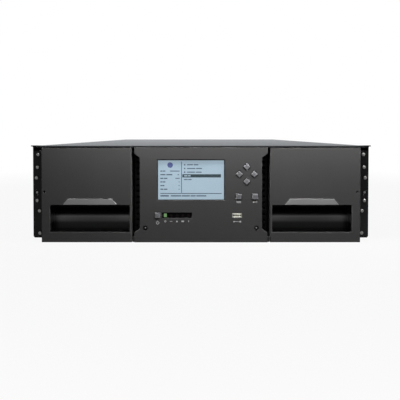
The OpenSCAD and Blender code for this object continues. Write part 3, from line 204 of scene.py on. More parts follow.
class Surround(Finish):
    """The world's nodes: white for the camera, gloss and glass, dimmer as a light."""

    def __init__(self):
        self.tree = world.node_tree
        self.shader = self.tree.nodes["Background"]
        self.feed(Color=(1, 1, 1, 1), Strength=SURROUND + (1 - SURROUND) * self.shown())


Surround()

# The floor glows white for the camera and keeps the object's shadow near it.
floor = sheet("studio_floor", [(x * 20, y * 20, -0.3 * MM)
                               for x, y in ((-1, -1), (1, -1), (1, 1), (-1, 1))])
sweep = Finish("pale_sweep", Base_Color=(0.10, 0.10, 0.10, 1), Roughness=0.9)
glow = sweep.add("Emission", {}, Color=(1, 1, 1, 1), Strength=1.0)
away = sweep.add("VectorMath", {"operation": "LENGTH"}, sweep.place(), output="Value")
far = sweep.fade(away, 0.5, 1.3, 0.92, 1.0)
matte = Socket(sweep, sweep.shader.outputs[0])
sweep.plug(sweep.tree.nodes["Material Output"].inputs["Surface"],
           sweep.add("MixShader", {}, sweep.shown() * far, matte, glow))
floor.data.materials.append(sweep.material)

# A black card stands on the front edge of the top cover, so that the strip lights the fascia
# alone. The camera and reflections don't see it.
card_foot, card_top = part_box("top_cover")[1].z + 0.3 * MM, 0.34
card = sheet("black_card", [(x * 0.7, face_y - 0.2 * MM, z) for x, z in
                            ((-1, card_foot), (1, card_foot), (1, card_top), (-1, card_top))])
card.visible_camera = card.visible_glossy = card.visible_transmission = False
card_black = Finish("card_black", Base_Color=(0.01, 0.01, 0.01, 1), Roughness=1.0)
card.data.materials.append(card_black.material)

# ---------------------------------------------------------------- pan, cage and rear wall
# Galvanised steel sheet, punched and folded: pan, rear wall and drive cage. The zinc has faint
# rolling lines and a dull spangle, and the cut edges are slightly rounded.
bodies = frame["record"]["behaviour"]["bodies"]
body_of = {node: body for body, nodes in bodies.items() for node in nodes}


def add_piece(name, mesh, finish, body, edge=0.0, segments=2):
    """Puts a mesh into the scene on its body, its sharp edges broken by edge metres."""
    mesh.materials.append(finish.material)
    piece = bpy.data.objects.new(name, mesh)
    scene.collection.objects.link(piece)
    if edge:
        mesh.shade_smooth()
        bevel = piece.modifiers.new("broken_edges", "BEVEL")
        bevel.width = edge
        bevel.segments = segments
        bevel.limit_method = "ANGLE"
        bevel.angle_limit = math.radians(35)
        bevel.use_clamp_overlap = False
        bevel.loop_slide = False
        flat = piece.modifiers.new("flat_faces", "WEIGHTED_NORMAL")
        flat.weight = 100
    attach(piece, body)
    return piece


def dress(node, finish, edge=0.0, segments=2):
    """Gives a CAD node its finish. With an edge, a copy with broken edges stands for the node."""
    solid = frame["nodes"][node]
    if not edge:
        solid.data.materials.clear()
        solid.data.materials.append(finish.material)
        return solid
    shape = bmesh.new()
    shape.from_mesh(solid.data)
    bmesh.ops.remove_doubles(shape, verts=shape.verts, dist=2e-6)
    bmesh.ops.dissolve_limit(shape, angle_limit=math.radians(0.5),
                             verts=shape.verts, edges=shape.edges)
    mesh = bpy.data.meshes.new(node + "_worked")
    shape.to_mesh(mesh)
    shape.free()
    piece = add_piece(node + "_worked", mesh, finish, body_of[node], edge, segments)
    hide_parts(node)
    return piece


def rolled_metal(name, colour, roughness, sizes=(0.2, 0.002, 0.002)):
    finish = Finish(name, Metallic=1.0)
    lines = finish.drawn_noise(sizes)
    spangle = finish.add("TexVoronoi", {}, Vector=finish.place(), Scale=1 / 0.006, output="Color")
    flake = finish.add("SeparateColor", {}, spangle)
    tone = finish.spread(lines * 0.7 + flake * 0.3, 0.0, 1.0)
    finish.feed(Base_Color=finish.mix(tone, shade(colour, 0.82), colour))
    finish.feed(Roughness=finish.spread(finish.noise(0.03), roughness - 0.06, roughness + 0.08))
    finish.bump(lines, 0.02 * MM)
    return finish


zinc = rolled_metal("galvanised_sheet", (0.50, 0.51, 0.53), 0.42)
for node in ("chassis_pan", "rear_panel", "drive_cage"):
    dress(node, zinc, 0.2 * MM)

# ---------------------------------------------------------------- top cover
# One sheet of 1.5 mm steel with a smooth light grey coat, folded down at the sides and along
# the front. A dark edging strip is glued on there, and six countersunk screws hold it down.


def coated(name, colour, roughness, grain, depth, mottle=0.05, gloss=0.1):
    """A coat or moulded skin: colour slightly uneven, a fine grain of that size and depth."""
    finish = Finish(name, Specular_IOR_Level=gloss)
    cloud = finish.noise(0.05)
    skin = finish.noise(grain, detail=2.0)
    tone = finish.spread(cloud * 0.6 + skin * 0.4, 0.0, 1.0)
    finish.feed(Base_Color=finish.mix(tone, shade(colour, 1 - mottle), shade(colour, 1 + mottle)))
    finish.feed(Roughness=finish.spread(finish.noise(0.02), roughness - 0.04, roughness + 0.05))
    finish.bump(skin, depth)
    return finish


cover_paint = coated("light_grey_coat", (0.285, 0.297, 0.312), 0.85, 0.9 * MM, 0.004 * MM,
                     mottle=0.02, gloss=0.05)
dress("top_cover", cover_paint, 0.3 * MM)


class Shape:
    """A mesh under construction. Outlines are (x, z) pairs, drawn out along Y."""

    def __init__(self):
        self.mesh = bmesh.new()

    def skin(self, rings):
        """Joins rings of equal length with quads and caps the first and last."""
        loops = [[self.mesh.verts.new(p) for p in ring] for ring in rings]
        count = len(loops[0])
        for low, high in zip(loops, loops[1:]):
            for i in range(count):
                j = (i + 1) % count
                self.mesh.faces.new((low[i], low[j], high[j], high[i]))
        self.mesh.faces.new(list(reversed(loops[0])))
        self.mesh.faces.new(loops[-1])
        return self

    def prism(self, outline, y0, y1):
        return self.skin([[(x, y, z) for x, z in outline] for y in (y0, y1)])

    def block(self, low, high):
        (x0, y0, z0), (x1, y1, z1) = low, high
        return self.prism([(x0, z0), (x1, z0), (x1, z1), (x0, z1)], y0, y1)

    def turned(self, profile, centre, steps=24):
        """A solid turned about Y: profile is (distance along Y, radius) from end to end."""
        cx, cy, cz = centre
        angles = [2 * math.pi * i / steps for i in range(steps)]
        return self.skin([[(cx + radius * math.cos(a), cy + along, cz + radius * math.sin(a))
                           for a in angles] for along, radius in profile])

    def to_mesh(self, name):
        bmesh.ops.recalc_face_normals(self.mesh, faces=self.mesh.faces)
        mesh = bpy.data.meshes.new(name)
        self.mesh.to_mesh(mesh)
        self.mesh.free()
        return mesh


def build(name, shape, finish, node, edge=0.0, stands_for=False):
    """Puts a shape on the body of a CAD node, or in that node's place."""
    mesh = shape.to_mesh(name)
    piece = add_piece(name, mesh, finish, body_of[node], edge)
    if stands_for:
        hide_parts(node)
    return piece


def rounded(x0, x1, z0, z1, r, steps=5):
    """Outline of a rectangle with round corners."""
    points = []
    for cx, cz, start in ((x1 - r, z1 - r, 0), (x0 + r, z1 - r, 90),
                          (x0 + r, z0 + r, 180), (x1 - r, z0 + r, 270)):
        for i in range(steps + 1):
            a = math.radians(start + 90 * i / steps)
            points.append((cx + r * math.cos(a), cz + r * math.sin(a)))
    return points


edging_black = coated("black_edging", (0.018, 0.019, 0.02), 0.5, 0.6 * MM, 0.01 * MM)
cover_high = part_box("top_cover")[1]
pan_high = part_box("chassis_pan")[1]
ear_low, ear_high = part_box("right_rack_ear")
side_x, corner = pan_high.x + 2 * MM, 0.2 * MM
edging = Shape()
edging.prism(rounded(-side_x, side_x, cover_high.z - 1.9 * MM, cover_high.z - 0.01 * MM, corner),
             face_y + 0.05 * MM, face_y + 0.5 * MM)
# One strip follows each wing, and one below it closes the joint with the ear.
for s in (-1, 1):
    for reach, foot, top in ((cover_high.x - 0.1 * MM, 1.4 * MM, 0.01 * MM),
                             (ear_high.x, 2.5 * MM, 1.45 * MM)):
        x0, x1 = sorted((s * (side_x + 0.2 * MM), s * reach))
        edging.prism(rounded(x0, x1, cover_high.z - foot, cover_high.z - top, corner),
                     ear_low.y - 1.4 * MM, ear_low.y - 0.9 * MM)
build("cover_edging", edging, edging_black, "top_cover")


def loose_boxes(node):
    """The lowest and highest corner of every separate solid in a CAD node."""
    shape = bmesh.new()
    shape.from_mesh(frame["nodes"][node].data)
    bmesh.ops.remove_doubles(shape, verts=shape.verts, dist=2e-6)
    boxes, left = [], set(shape.verts)
    while left:
        island, front = set(), [left.pop()]
        while front:
            v = front.pop()
            island.add(v)
            near = {e.other_vert(v) for e in v.link_edges} & left
            left -= near
            front += near
        axes = list(zip(*(v.co for v in island)))
        boxes.append(tuple(Vector([pick(axis) for axis in axes]) for pick in (min, max)))
    shape.free()
    return sorted(boxes, key=lambda box: tuple(box[0]))


def subtract(solid, cutter):
    """The solid's mesh with the cutter's shape taken out of it."""
    pieces = [bpy.data.objects.new("blank", s.to_mesh("blank")) for s in (solid, cutter)]
    for piece in pieces:
        scene.collection.objects.link(piece)
    cut = pieces[0].modifiers.new("cut", "BOOLEAN")
    cut.object = pieces[1]
    bpy.context.view_layer.update()
    worked = pieces[0].evaluated_get(bpy.context.evaluated_depsgraph_get())
    mesh = bpy.data.meshes.new_from_object(worked)
    for piece in pieces:
        bpy.data.objects.remove(piece)
    return mesh


def screw(across, length, drive="cross", flat=False):
    """The mesh of a screw whose head lies at the origin and faces -Y."""
    r, neck = across / 2, 0.3 * across
    if flat:
        head = [(0.0, 0.97 * r), (0.03 * across, r), (0.25 * across, neck)]
    else:
        head = [(0.0, 0.35 * r), (0.02 * across, 0.75 * r), (0.09 * across, 0.95 * r),
                (0.16 * across, r), (0.45 * across, r), (0.45 * across, neck)]
    shank = [(length - 0.2 * MM, neck), (length, 0.4 * r)]
    solid = Shape().turned(head + shank, (0, 0, 0))
    if drive == "cross":
        w, d = 0.13 * across, 0.36 * across
        cross = [(-d, -w), (-w, -w), (-w, -d), (w, -d), (w, -w), (d, -w),
                 (d, w), (w, w), (w, d), (-w, d), (-w, w), (-d, w)]
        cutter = Shape().prism(cross, -MM, 0.22 * across)
    else:
        cutter = Shape().turned([(-MM, 0.45 * r), (0.3 * across, 0.45 * r)], (0, 0, 0), steps=6)
    return subtract(solid, cutter)


def screws(node, finish, drive="cross", flat=False):
    """Stands real screws in for the plain ones of a CAD node. A screw's axis is the way in
    which its box is longest, and its head faces forwards, up or out of the side."""
    result = bmesh.new()
    for low, high in loose_boxes(node):
        size = high - low
        axis = max(range(3), key=lambda i: size[i])
        mesh = screw(max(size[(axis + 1) % 3], size[(axis + 2) % 3]), size[axis], drive, flat)
        start = (low + high) / 2
        outward = Vector(((1 if start.x > 0 else -1, 0, 0), (0, -1, 0), (0, 0, 1))[axis])
        start[axis] = high[axis] if outward[axis] > 0 else low[axis]
        turn = outward.rotation_difference(Vector((0, -1, 0))).to_matrix().inverted().to_4x4()
        mesh.transform(Matrix.Translation(start) @ turn)
        result.from_mesh(mesh)
    mesh = bpy.data.meshes.new(node + "_real")
    result.to_mesh(mesh)
    result.free()
    piece = add_piece(node + "_real", mesh, finish, body_of[node])
    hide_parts(node)


def plated(name, colour, roughness):
    """Plated small metal: slightly cloudy, with a little dullness in patches."""
    finish = Finish(name, Metallic=1.0)
    patch = finish.noise(1.5 * MM)
    finish.feed(Base_Color=finish.mix(finish.spread(patch, 0.0, 1.0), shade(colour, 0.8), colour))
    finish.feed(Roughness=finish.spread(patch, roughness, roughness + 0.12))
    finish.bump(finish.noise(0.3 * MM), 0.004 * MM)
    return finish


bright_zinc = plated("bright_zinc_plate", (0.78, 0.78, 0.76), 0.22)
screws("cover_screws", bright_zinc, flat=True)

# ---------------------------------------------------------------- front frame and rack ears
# The folded frame behind the fascia and two angles of 2 mm steel, all in black powder coat. The
# ears are held to the pan by bright cross-head screws and have one rack hole each.
powder_black = coated("black_powder_coat", (0.009, 0.009, 0.0095), 0.5, 0.5 * MM, 0.02 * MM,
                      mottle=0.12)
dress("front_frame", powder_black)
dress("left_rack_ear", powder_black, 0.25 * MM)
dress("right_rack_ear", powder_black, 0.25 * MM)
ear_zinc = plated("dull_zinc_plate", (0.21, 0.21, 0.205), 0.3)
screws("ear_screws", ear_zinc)

# A captive screw waits in a black sleeve in each rack hole. The seat above is filled with a
# near-black pad, which is painted shade under the cover's wing.
SIDES = (("left", -1), ("right", 1))
hole_in, hole_z = 4.95 * MM, 66.675 * MM
sleeve_profile = [(1.9 * MM, 1.6 * MM), (1.2 * MM, 2.7 * MM), (-0.3 * MM, 3.0 * MM),
                  (-0.4 * MM, 3.3 * MM), (0.1 * MM, 3.45 * MM), (3.4 * MM, 3.45 * MM)]
black_foam_and_notch_shade = coated("open_cell_foam_and_notch_shade", (0.003, 0.003, 0.003), 0.9, 0.7 * MM, 0.25 * MM,
                    mottle=0.3, gloss=0.02)
for side, s in SIDES:
    ear = side + "_rack_ear"
    hole = Vector((s * (ear_high.x - hole_in), ear_low.y, hole_z))
    build(side + "_captive_sleeve", Shape().turned(sleeve_profile, hole), edging_black, ear)
    mesh = screw(4.0 * MM, 7 * MM)
    mesh.transform(Matrix.Translation(hole + Vector((0, 1.0 * MM, 0))))
    add_piece(side + "_captive_screw", mesh, ear_zinc, body_of[ear])
    notch_shade = Shape()
    for inner, outer, foot, top in (
            (pan_high.x - 1.8 * MM, pan_high.x + 5.9 * MM, 5.9 * MM, -0.3 * MM),
            (pan_high.x + 6.0 * MM, ear_high.x - 1.7 * MM, 5.3 * MM, 1.2 * MM)):
        x0, x1 = sorted((s * inner, s * outer))
        notch_shade.prism(rounded(x0, x1, ear_high.z - foot, ear_high.z - top, 0.3 * MM),
                  ear_low.y + 0.3 * MM, ear_low.y + 1.15 * MM)
    build(side + "_ear_pad", notch_shade, black_foam_and_notch_shade, ear)

# ---------------------------------------------------------------- operator panel
# A charcoal moulding with a fine spark-eroded skin. Air inlets with black grilles notch both
# sides, and a recessed socket screw in each lower corner holds it to the front frame.
charcoal = (0.0505, 0.0495, 0.0495)
fascia_skin = coated("charcoal_moulding", charcoal, 0.46, 0.35 * MM, 0.012 * MM, 0.05, gloss=0.03)
black_grille_and_well_shade = coated("matte_black_grille_and_well_shade", (0.004, 0.004, 0.0042), 0.6, 0.5 * MM, 0.01 * MM,
                      gloss=0.04)


def repaint(piece, finish, low, high):
    """Gives another finish to those faces of a piece whose middle lies in a box."""
    piece.data.materials.append(finish.material)
    for face in piece.data.polygons:
        if all(a <= v <= b for a, v, b in zip(low, face.center, high)):
            face.material_index = len(piece.data.materials) - 1


panel = dress("operator_panel", fascia_skin, 0.35 * MM, 3)
dress("side_inlet_grilles", black_grille_and_well_shade, 0.15 * MM)
grille_low, grille_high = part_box("side_inlet_grilles")
foam = Shape()
for s in (-1, 1):
    x0, x1 = sorted((s * (grille_high.x - 7.2 * MM), s * (grille_high.x + 3.0 * MM)))
    foam.prism(rounded(x0, x1, grille_low.z, grille_high.z, MM),
               grille_high.y + 0.3 * MM, grille_high.y + 3 * MM)
build("inlet_foam", foam, black_foam_and_notch_shade, "side_inlet_grilles")
black_oxide = plated("black_oxide_steel", (0.02, 0.02, 0.021), 0.3)
screws("panel_screws", black_oxide, drive="hex")
# A brighter steel dome at the bottom of each black screw's socket is a painted glint.
glint_steel = plated("socket_glint_steel", (0.40, 0.40, 0.39), 0.3)
glint_profile = [(0.6 * MM, 0.25 * MM), (0.75 * MM, 0.8 * MM), (1.2 * MM, MM), (1.6 * MM, MM)]
# The panel's faces in the well round each screw take the grille's black as painted shade.
for i, (low, high) in enumerate(loose_boxes("panel_screws")):
    repaint(panel, black_grille_and_well_shade, (low.x - 3 * MM, face_y + 0.2 * MM, low.z - 3 * MM),
            (high.x + 3 * MM, high.y, high.z + 3 * MM))
    at = (low + high) / 2
    glint = Shape().turned(glint_profile, (at.x, low.y, at.z), steps=16)
    build(f"socket_glint_{i + 1}", glint, glint_steel, "panel_screws")


def ring(cx, cz, r0, r1, start=0, sweep=360, steps=20):
    """Outline of a ring or of a part of one, in degrees from +X."""
    arc = [math.radians(start + sweep * i / steps) for i in range(steps + 1)]
    outer = [(cx + r1 * math.cos(a), cz + r1 * math.sin(a)) for a in arc]
    return outer + [(cx + r0 * math.cos(a), cz + r0 * math.sin(a)) for a in reversed(arc)]


def bar(cx, cz, w, h):
    """Outline of a plain bar, w wide and h high."""
    return [(cx + i * w / 2, cz + j * h / 2) for i, j in ((-1, -1), (1, -1), (1, 1), (-1, 1))]


def print_on(name, outlines, y, finish, node, depth=0.05 * MM):
    """Ink marks, each a thin flat layer, printed on the face at y."""
    layer = Shape()
    for outline in outlines:
        layer.prism(outline, y - depth, y)
    build(name, layer, finish, node)


def ink(name, colour, roughness=0.5):
    """Screen-printed ink, slightly uneven in its cover."""
    finish = Finish(name, Roughness=roughness)
    cover = finish.spread(finish.noise(0.6 * MM), 0.0, 1.0)
    finish.feed(Base_Color=finish.mix(cover, shade(colour, 0.85), colour))
    return finish


def middle(node):
    low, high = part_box(node)
    return (low + high) / 2


# Plain picture marks stand under the keys, the lamps and the port.
legend_ink = ink("pale_grey_legend", (0.42, 0.42, 0.43))
power, menu, enter, port = map(middle, ("power_key", "menu_key", "enter_key", "data_port"))
x, z = power.x, power.z - 10.2 * MM
marks = [ring(x, z, 1.5 * MM, 2.1 * MM, 125, 290), bar(x, z + 1.7 * MM, 0.6 * MM, 2.2 * MM)]
marks += [bar(menu.x, menu.z - (6.5 + i) * MM, 6.2 * MM, 0.55 * MM) for i in range(3)]
x, z = enter.x, enter.z - 7.4 * MM
marks += [bar(x + 0.5 * MM, z, 4.6 * MM, 0.6 * MM),
          bar(x + 2.8 * MM, z + 0.9 * MM, 0.6 * MM, 2.4 * MM),
          [(x - 3.2 * MM, z), (x - 1.4 * MM, z - 1.2 * MM), (x - 1.4 * MM, z + 1.2 * MM)]]
x, z = port.x, port.z - 8.6 * MM
marks += [bar(x, z, 7.0 * MM, 0.5 * MM), bar(x - 4.3 * MM, z, 1.8 * MM, 1.6 * MM),
          bar(x + 4.4 * MM, z, 2.2 * MM, 2.2 * MM)]
# The lamps' front faces, from left to right. The light pipes behind them are left out.
lamp_spots = [(low + high) / 2 for low, high in loose_boxes("status_lamps")]
lamp_spots = sorted((p for p in lamp_spots if p.y < face_y + 1.2 * MM), key=lambda p: p.x)
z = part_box("lamp_window")[0].z - 4.6 * MM
for i, spot in enumerate(lamp_spots):
    x = spot.x
    marks.append([
        ring(x, z, 0.7 * MM, 1.3 * MM),
        bar(x, z, 3.6 * MM, 0.7 * MM),
        [(x - 1.4 * MM, z - 1.1 * MM), (x + 1.4 * MM, z - 1.1 * MM), (x, z + 1.3 * MM)],
        rounded(x - 1.7 * MM, x + 1.7 * MM, z - 1.0 * MM, z + 1.0 * MM, 0.4 * MM),
        bar(x, z, 0.8 * MM, 2.4 * MM)][i % 5])
print_on("panel_legend", marks, face_y, legend_ink, "operator_panel")

# ---------------------------------------------------------------- display
# A backlit liquid-crystal display behind a clear window, framed by a black gasket. It shows a
# plain menu page: a round badge, rows of bars in place of words, and one row picked out.
glass = Finish("clear_window", Base_Color=(0.01, 0.012, 0.014, 1), Roughness=0.06, Alpha=0.05)
window_low, window_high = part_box("display_window")
window = Shape().prism(rounded(window_low.x, window_high.x, window_low.z, window_high.z, 0.4 * MM),
                       face_y + 1.2 * MM, face_y + 1.9 * MM)
build("window_pane", window, glass, "display_window", 0.1 * MM, stands_for=True)
housing_black = coated("black_housing", (0.012, 0.012, 0.013), 0.45, 0.6 * MM, 0.01 * MM)
dress("display", housing_black)
gasket, rim, gap = Shape(), 1.1 * MM, 0.05 * MM
x0, x1, z0, z1 = window_low.x - MM, window_high.x + MM, window_low.z - MM, window_high.z + MM
for a, b, c, d in ((x0, x1, z1 - rim, z1), (x0, x1, z0, z0 + rim),
                   (x0, x0 + rim, z0 + rim + gap, z1 - rim - gap),
                   (x1 - rim, x1, z0 + rim + gap, z1 - rim - gap)):
    gasket.block((a + gap, face_y + 0.8 * MM, c + gap), (b - gap, face_y + 1.15 * MM, d - gap))
build("window_gasket", gasket, housing_black, "display_window", 0.08 * MM)


def lit(name, colour, strength):
    """A backlit surface, with the faint unevenness of its diffuser."""
    finish = Finish(name, Roughness=0.35, Emission_Strength=strength)
    cloud = finish.spread(finish.noise(0.03), 0.0, 1.0)
    finish.feed(Base_Color=(*shade(colour, 0.25), 1),
                Emission_Color=finish.mix(cloud, shade(colour, 0.94), colour))
    return finish


page_white = lit("display_page", (0.36, 0.475, 0.565), 0.87)
page_y = face_y + 2.1 * MM
page = Shape().prism(rounded(window_low.x, window_high.x, window_low.z, window_high.z, 0.3 * MM),
                     page_y, page_y + 0.35 * MM)
build("display_page", page, page_white, "display")
left, top = window_low.x, window_high.z
unit = (window_high.x - window_low.x) / 66.0


def page_bar(x, y, w, h):
    """A bar on the page, in 66ths of its width from the upper left corner."""
    return bar(left + (x + w / 2) * unit, top - y * unit, w * unit, h * unit)


# Left column, right column, the foot's row, then the rules between them.
dark_rows, grey_rows = [], []
for row, (width, value_x, value_w) in enumerate(((5, 12.0, 9.6), (12, 19.6, 1.4), (7, 17.4, 4.2),
                                                 (5, 20.6, 0.9), (4, 20.6, 0.9), (7, 20.6, 0.9))):
    y = 10.8 + row * 3.64
    dark_rows += [page_bar(2.3, y, 0.42 * width, 1.0),
                  page_bar(2.3 + 0.5 * width, y, 0.5 * width, 1.0)]
    grey_rows.append(page_bar(value_x, y, value_w, 0.9))
for row, width in enumerate((11, 15, 14.5)):
    y = 4.5 + row * 3.7
    dark_rows.append(page_bar(26.0, y, 1.3, 1.3))
    grey_rows += [page_bar(29.0, y, 0.55 * width, 1.0),
                  page_bar(29.8 + 0.55 * width, y, 0.4 * width, 1.0)]
grey_rows += [page_bar(26.0, 19.3, 3.6, 1.0), page_bar(30.2, 19.3, 3.4, 1.0)]
dark_rows += [page_bar(x, 35.7, w, h) for x, w, h in (
    (2.3, 8.5, 1.2), (12.6, 10.5, 1.0), (23.8, 8.0, 1.0), (32.6, 5.0, 1.0), (38.4, 10.0, 1.0))]
dark_rows += [page_bar(23.2, 17.0, 0.6, 31.4), page_bar(2.3, 33.3, 61.3, 0.7)]
page_ink = lit("page_dark_ink", (0.03, 0.055, 0.10), 0.6)
print_on("page_dark_rows", dark_rows, page_y, page_ink, "display")
page_grey = lit("page_grey_ink", (0.09, 0.135, 0.19), 0.6)
print_on("page_grey_rows", grey_rows, page_y, page_grey, "display")
picked = lit("page_picked_row", (0.024, 0.052, 0.066), 0.55)
print_on("page_picked_row", [page_bar(24.3, 15.6, 38.7, 3.2)], page_y, picked, "display")
picked_text = [page_bar(26.0, 15.6, 3.4, 1.1), page_bar(30.0, 15.6, 2.6, 1.1)]
print_on("page_picked_text", picked_text, page_y - 0.05 * MM, page_white, "display")
badge_blue = lit("page_badge_blue", (0.075, 0.10, 0.27), 0.8)
badge = ring(left + 12.1 * unit, top - 4.8 * unit, 0.05 * unit, 2.8 * unit)
print_on("page_badge", [badge], page_y, badge_blue, "display")

# ---------------------------------------------------------------- keys
# Seven keys of mid grey silicone: four set as diamonds, two square ones below them and the
# power key. Each has a soft rim, a printed mark and a stem that presses a switch on the board.
key_rubber = coated("grey_key_rubber", (0.144, 0.144, 0.152), 0.55, 0.25 * MM, 0.006 * MM, 0.05)
mark_dark = ink("dark_key_mark", (0.07, 0.07, 0.075))
key_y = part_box("up_key")[0].y
for node in ("up_key", "down_key", "left_key", "right_key", "menu_key", "enter_key", "power_key"):
    dress(node, key_rubber, 0.15 * MM)
for node, turn in (("up_key", 90), ("down_key", 270), ("left_key", 180), ("right_key", 0)):
    at, angles = middle(node), [math.radians(turn + a) for a in (0, 125, 235)]
    arrow = [(at.x + 1.3 * MM * math.cos(a), at.z + 1.3 * MM * math.sin(a)) for a in angles]
    print_on(node + "_mark", [arrow], key_y, mark_dark, node)
menu_mark = [bar(menu.x, menu.z + i * 1.3 * MM, 3.4 * MM, 0.6 * MM) for i in (-1, 0, 1)]
print_on("menu_key_mark", menu_mark, key_y, mark_dark, "menu_key")
x, z, tip = enter.x, enter.z, 0.9 * MM
enter_mark = [bar(x, z, 3.0 * MM, 0.6 * MM), bar(x + 1.6 * MM, z + 0.6 * MM, 0.6 * MM, 1.8 * MM),
              [(x - 2.2 * MM, z), (x - tip, z - tip), (x - tip, z + tip)]]
print_on("enter_key_mark", enter_mark, key_y, mark_dark, "enter_key")
power_mark = [ring(power.x, power.z, 1.2 * MM, 1.7 * MM)]
print_on("power_key_mark", power_mark, key_y, mark_dark, "power_key")

# ---------------------------------------------------------------- lamps and data port
# A black window with five lenses over light pipes, the first lit green, and a data port of
# thin plated sheet with cream insulators and an olive one at the back of its well.
gloss_black = coated("gloss_black_window", (0.002, 0.002, 0.0022), 0.2, 0.5 * MM, 0.002 * MM,
                     gloss=0.012)
dress("lamp_window", gloss_black, 0.1 * MM)
green_on = lit("green_lamp_lit", (0.105, 0.22, 0.08), 1.0)
lens_off = coated("dark_lens", (0.006, 0.0045, 0.0045), 0.2, 0.5 * MM, 0.002 * MM, gloss=0.02)
for i, spot in enumerate(lamp_spots):
    rings = []
    for inset, y in ((0, 0.98), (0, 0.75), (0.15, 0.62), (0.45, 0.55)):
        w, h = (2.0 - inset) * MM, (2.5 - inset) * MM
        outline = rounded(spot.x - w, spot.x + w, spot.z - h, spot.z + h, 0.5 * MM)
        rings.append([(x, face_y + y * MM, z) for x, z in outline])
    lens = build(f"lamp_lens_{i + 1}", Shape().skin(rings), lens_off if i else green_on,
                 "status_lamps", stands_for=not i)
    lens.data.shade_smooth()
port_metal = plated("nickel_shell", (0.60, 0.59, 0.54), 0.3)
cream = coated("cream_insulator", (0.80, 0.795, 0.70), 0.45, 0.4 * MM, 0.004 * MM)
low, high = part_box("data_port")
shell, wall = Shape(), 0.45 * MM
for z0, z1 in ((low.z, low.z + wall), (high.z - wall, high.z)):
    shell.block((low.x, low.y, z0), (high.x, high.y, z1))
for x0, x1 in ((low.x, low.x + wall), (high.x - wall, high.x)):
    shell.block((x0, low.y, low.z + 0.5 * MM), (x1, high.y, high.z - 0.5 * MM))
build("port_shell", shell, port_metal, "data_port", 0.08 * MM, stands_for=True)
tongue = Shape()
for z0, z1 in ((port.z + 0.9 * MM, high.z - 0.6 * MM), (low.z + 0.6 * MM, low.z + 1.7 * MM)):
    tongue.prism(rounded(low.x + 1.3 * MM, high.x - 1.3 * MM, z0, z1, 0.3 * MM),
                 low.y + 0.03 * MM, high.y - 1.1 * MM)
build("port_tongue", tongue, cream, "data_port", 0.1 * MM)
olive = coated("olive_insulator", (0.10, 0.085, 0.045), 0.5, 0.4 * MM, 0.004 * MM)
well = Shape().block((low.x + 0.5 * MM, low.y + 2.2 * MM, low.z + 1.7 * MM),
                     (high.x - 0.5 * MM, low.y + 3 * MM, port.z + 0.7 * MM))
build("port_well", well, olive, "data_port", 0.1 * MM)

# ---------------------------------------------------------------- panel board
# The circuit board behind the panel, with a switch under each key, three chips and the plug of
# the display cable. One green solder mask with tracks covers the whole piece.


def solder_mask(name):
    """Green solder mask over copper fields, the gaps between them a little lighter."""
    finish = Finish(name, Roughness=0.28)
    cells = finish.add("TexBrick", {"offset": 0.5}, Vector=finish.place(),
                       Color1=(0.01, 0.075, 0.03, 1), Color2=(0.012, 0.09, 0.036, 1),
                       Mortar=(0.02, 0.16, 0.06, 1), Scale=120.0, Mortar_Size=0.08)
    finish.feed(Base_Color=cells)
    finish.bump(finish.noise(0.8 * MM), 0.01 * MM)
    return finish


green_board = solder_mask("green_solder_mask")
dress("panel_board", green_board)

# ---------------------------------------------------------------- magazine doors
# Two charcoal mouldings, each the front of a magazine. A hand pocket is let into the foot, with
# a grey grip tab above it for the fingers, and a pinhole gives access to the manual release.
# The pocket's inside is the door's own smooth plastic, and its near-black colour is painted shade
# in the recess.
pocket_shade_skin = coated("pocket_painted_shade", (0.006, 0.006, 0.006), 0.3, 0.5 * MM, 0.002 * MM, gloss=0.012)
pocket_shade_skin.feed(Coat_Roughness=0.3)
pocket_mid, pocket_half = 152.4 * MM, 54.5 * MM
pocket_foot, pocket_head = 14.6 * MM, 51 * MM
height, across = (pocket_shade_skin.add("SeparateXYZ", {}, pocket_shade_skin.place(), output=axis)
                  for axis in "ZX")
across = (across.math("ABSOLUTE", across) - pocket_mid) * (1 / pocket_half)
# The clear coat lies only in a band across the middle of the pocket's height and is stronger
# towards both ends: a painted sheen.
painted_sheen_band = pocket_shade_skin.fade(height, 24 * MM, 30 * MM, 0.0, 1.0)
painted_sheen_band = painted_sheen_band * pocket_shade_skin.fade(height, 37 * MM, 42 * MM, 1.0, 0.0)
low_sheen = pocket_shade_skin.fade(height, 36 * MM, 40 * MM, 0.2, 0.0)
pocket_shade_skin.feed(Coat_Weight=low_sheen + painted_sheen_band * (0.5 + 0.4 * across * across))
for side, s in SIDES:
    repaint(dress(side + "_door", fascia_skin, 0.35 * MM, 3), pocket_shade_skin,
            (s * pocket_mid - pocket_half - MM, face_y + 1.3 * MM, 0),
            (s * pocket_mid + pocket_half + MM, face_y + 60 * MM, 60 * MM))
tab_skin = coated("grey_grip_tab", (0.195, 0.195, 0.196), 0.5, 0.3 * MM, 0.008 * MM, 0.05)
gap_shadow_black = coated("painted_gap_shadow", (0.012, 0.012, 0.012), 0.6, 0.3 * MM, 0.004 * MM, gloss=0.02)
# A lighter copy of the charcoal, printed as a thin band, is painted highlight on the door's edges.
edge_highlight_skin = coated("painted_edge_highlight", shade(charcoal, 1.5), 0.5, 0.35 * MM, 0.01 * MM, gloss=0.03)


def tab_edge(node, t):
    """The outline of a grip tab, spread outwards by t at its two slopes and its top."""
    low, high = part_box(node)
    top = [v.co.x for v in frame["nodes"][node].data.vertices if v.co.z > high.z - 0.5 * MM]
    rise, run = high.z - low.z, min(top) - low.x
    slope = math.hypot(rise, run)
    foot, crown = t * slope / rise, t * (slope - run) / rise
    return [(low.x - foot, low.z), (min(top) - crown, high.z + t),
            (max(top) + crown, high.z + t), (high.x + foot, low.z)]


def pocket_edge(s, t):
    """The sides and foot of the pocket on side s, spread outwards by t."""
    x0, x1 = s * pocket_mid - pocket_half - t, s * pocket_mid + pocket_half + t
    return [(x0, pocket_head), (x0, pocket_foot - t), (x1, pocket_foot - t), (x1, pocket_head)]


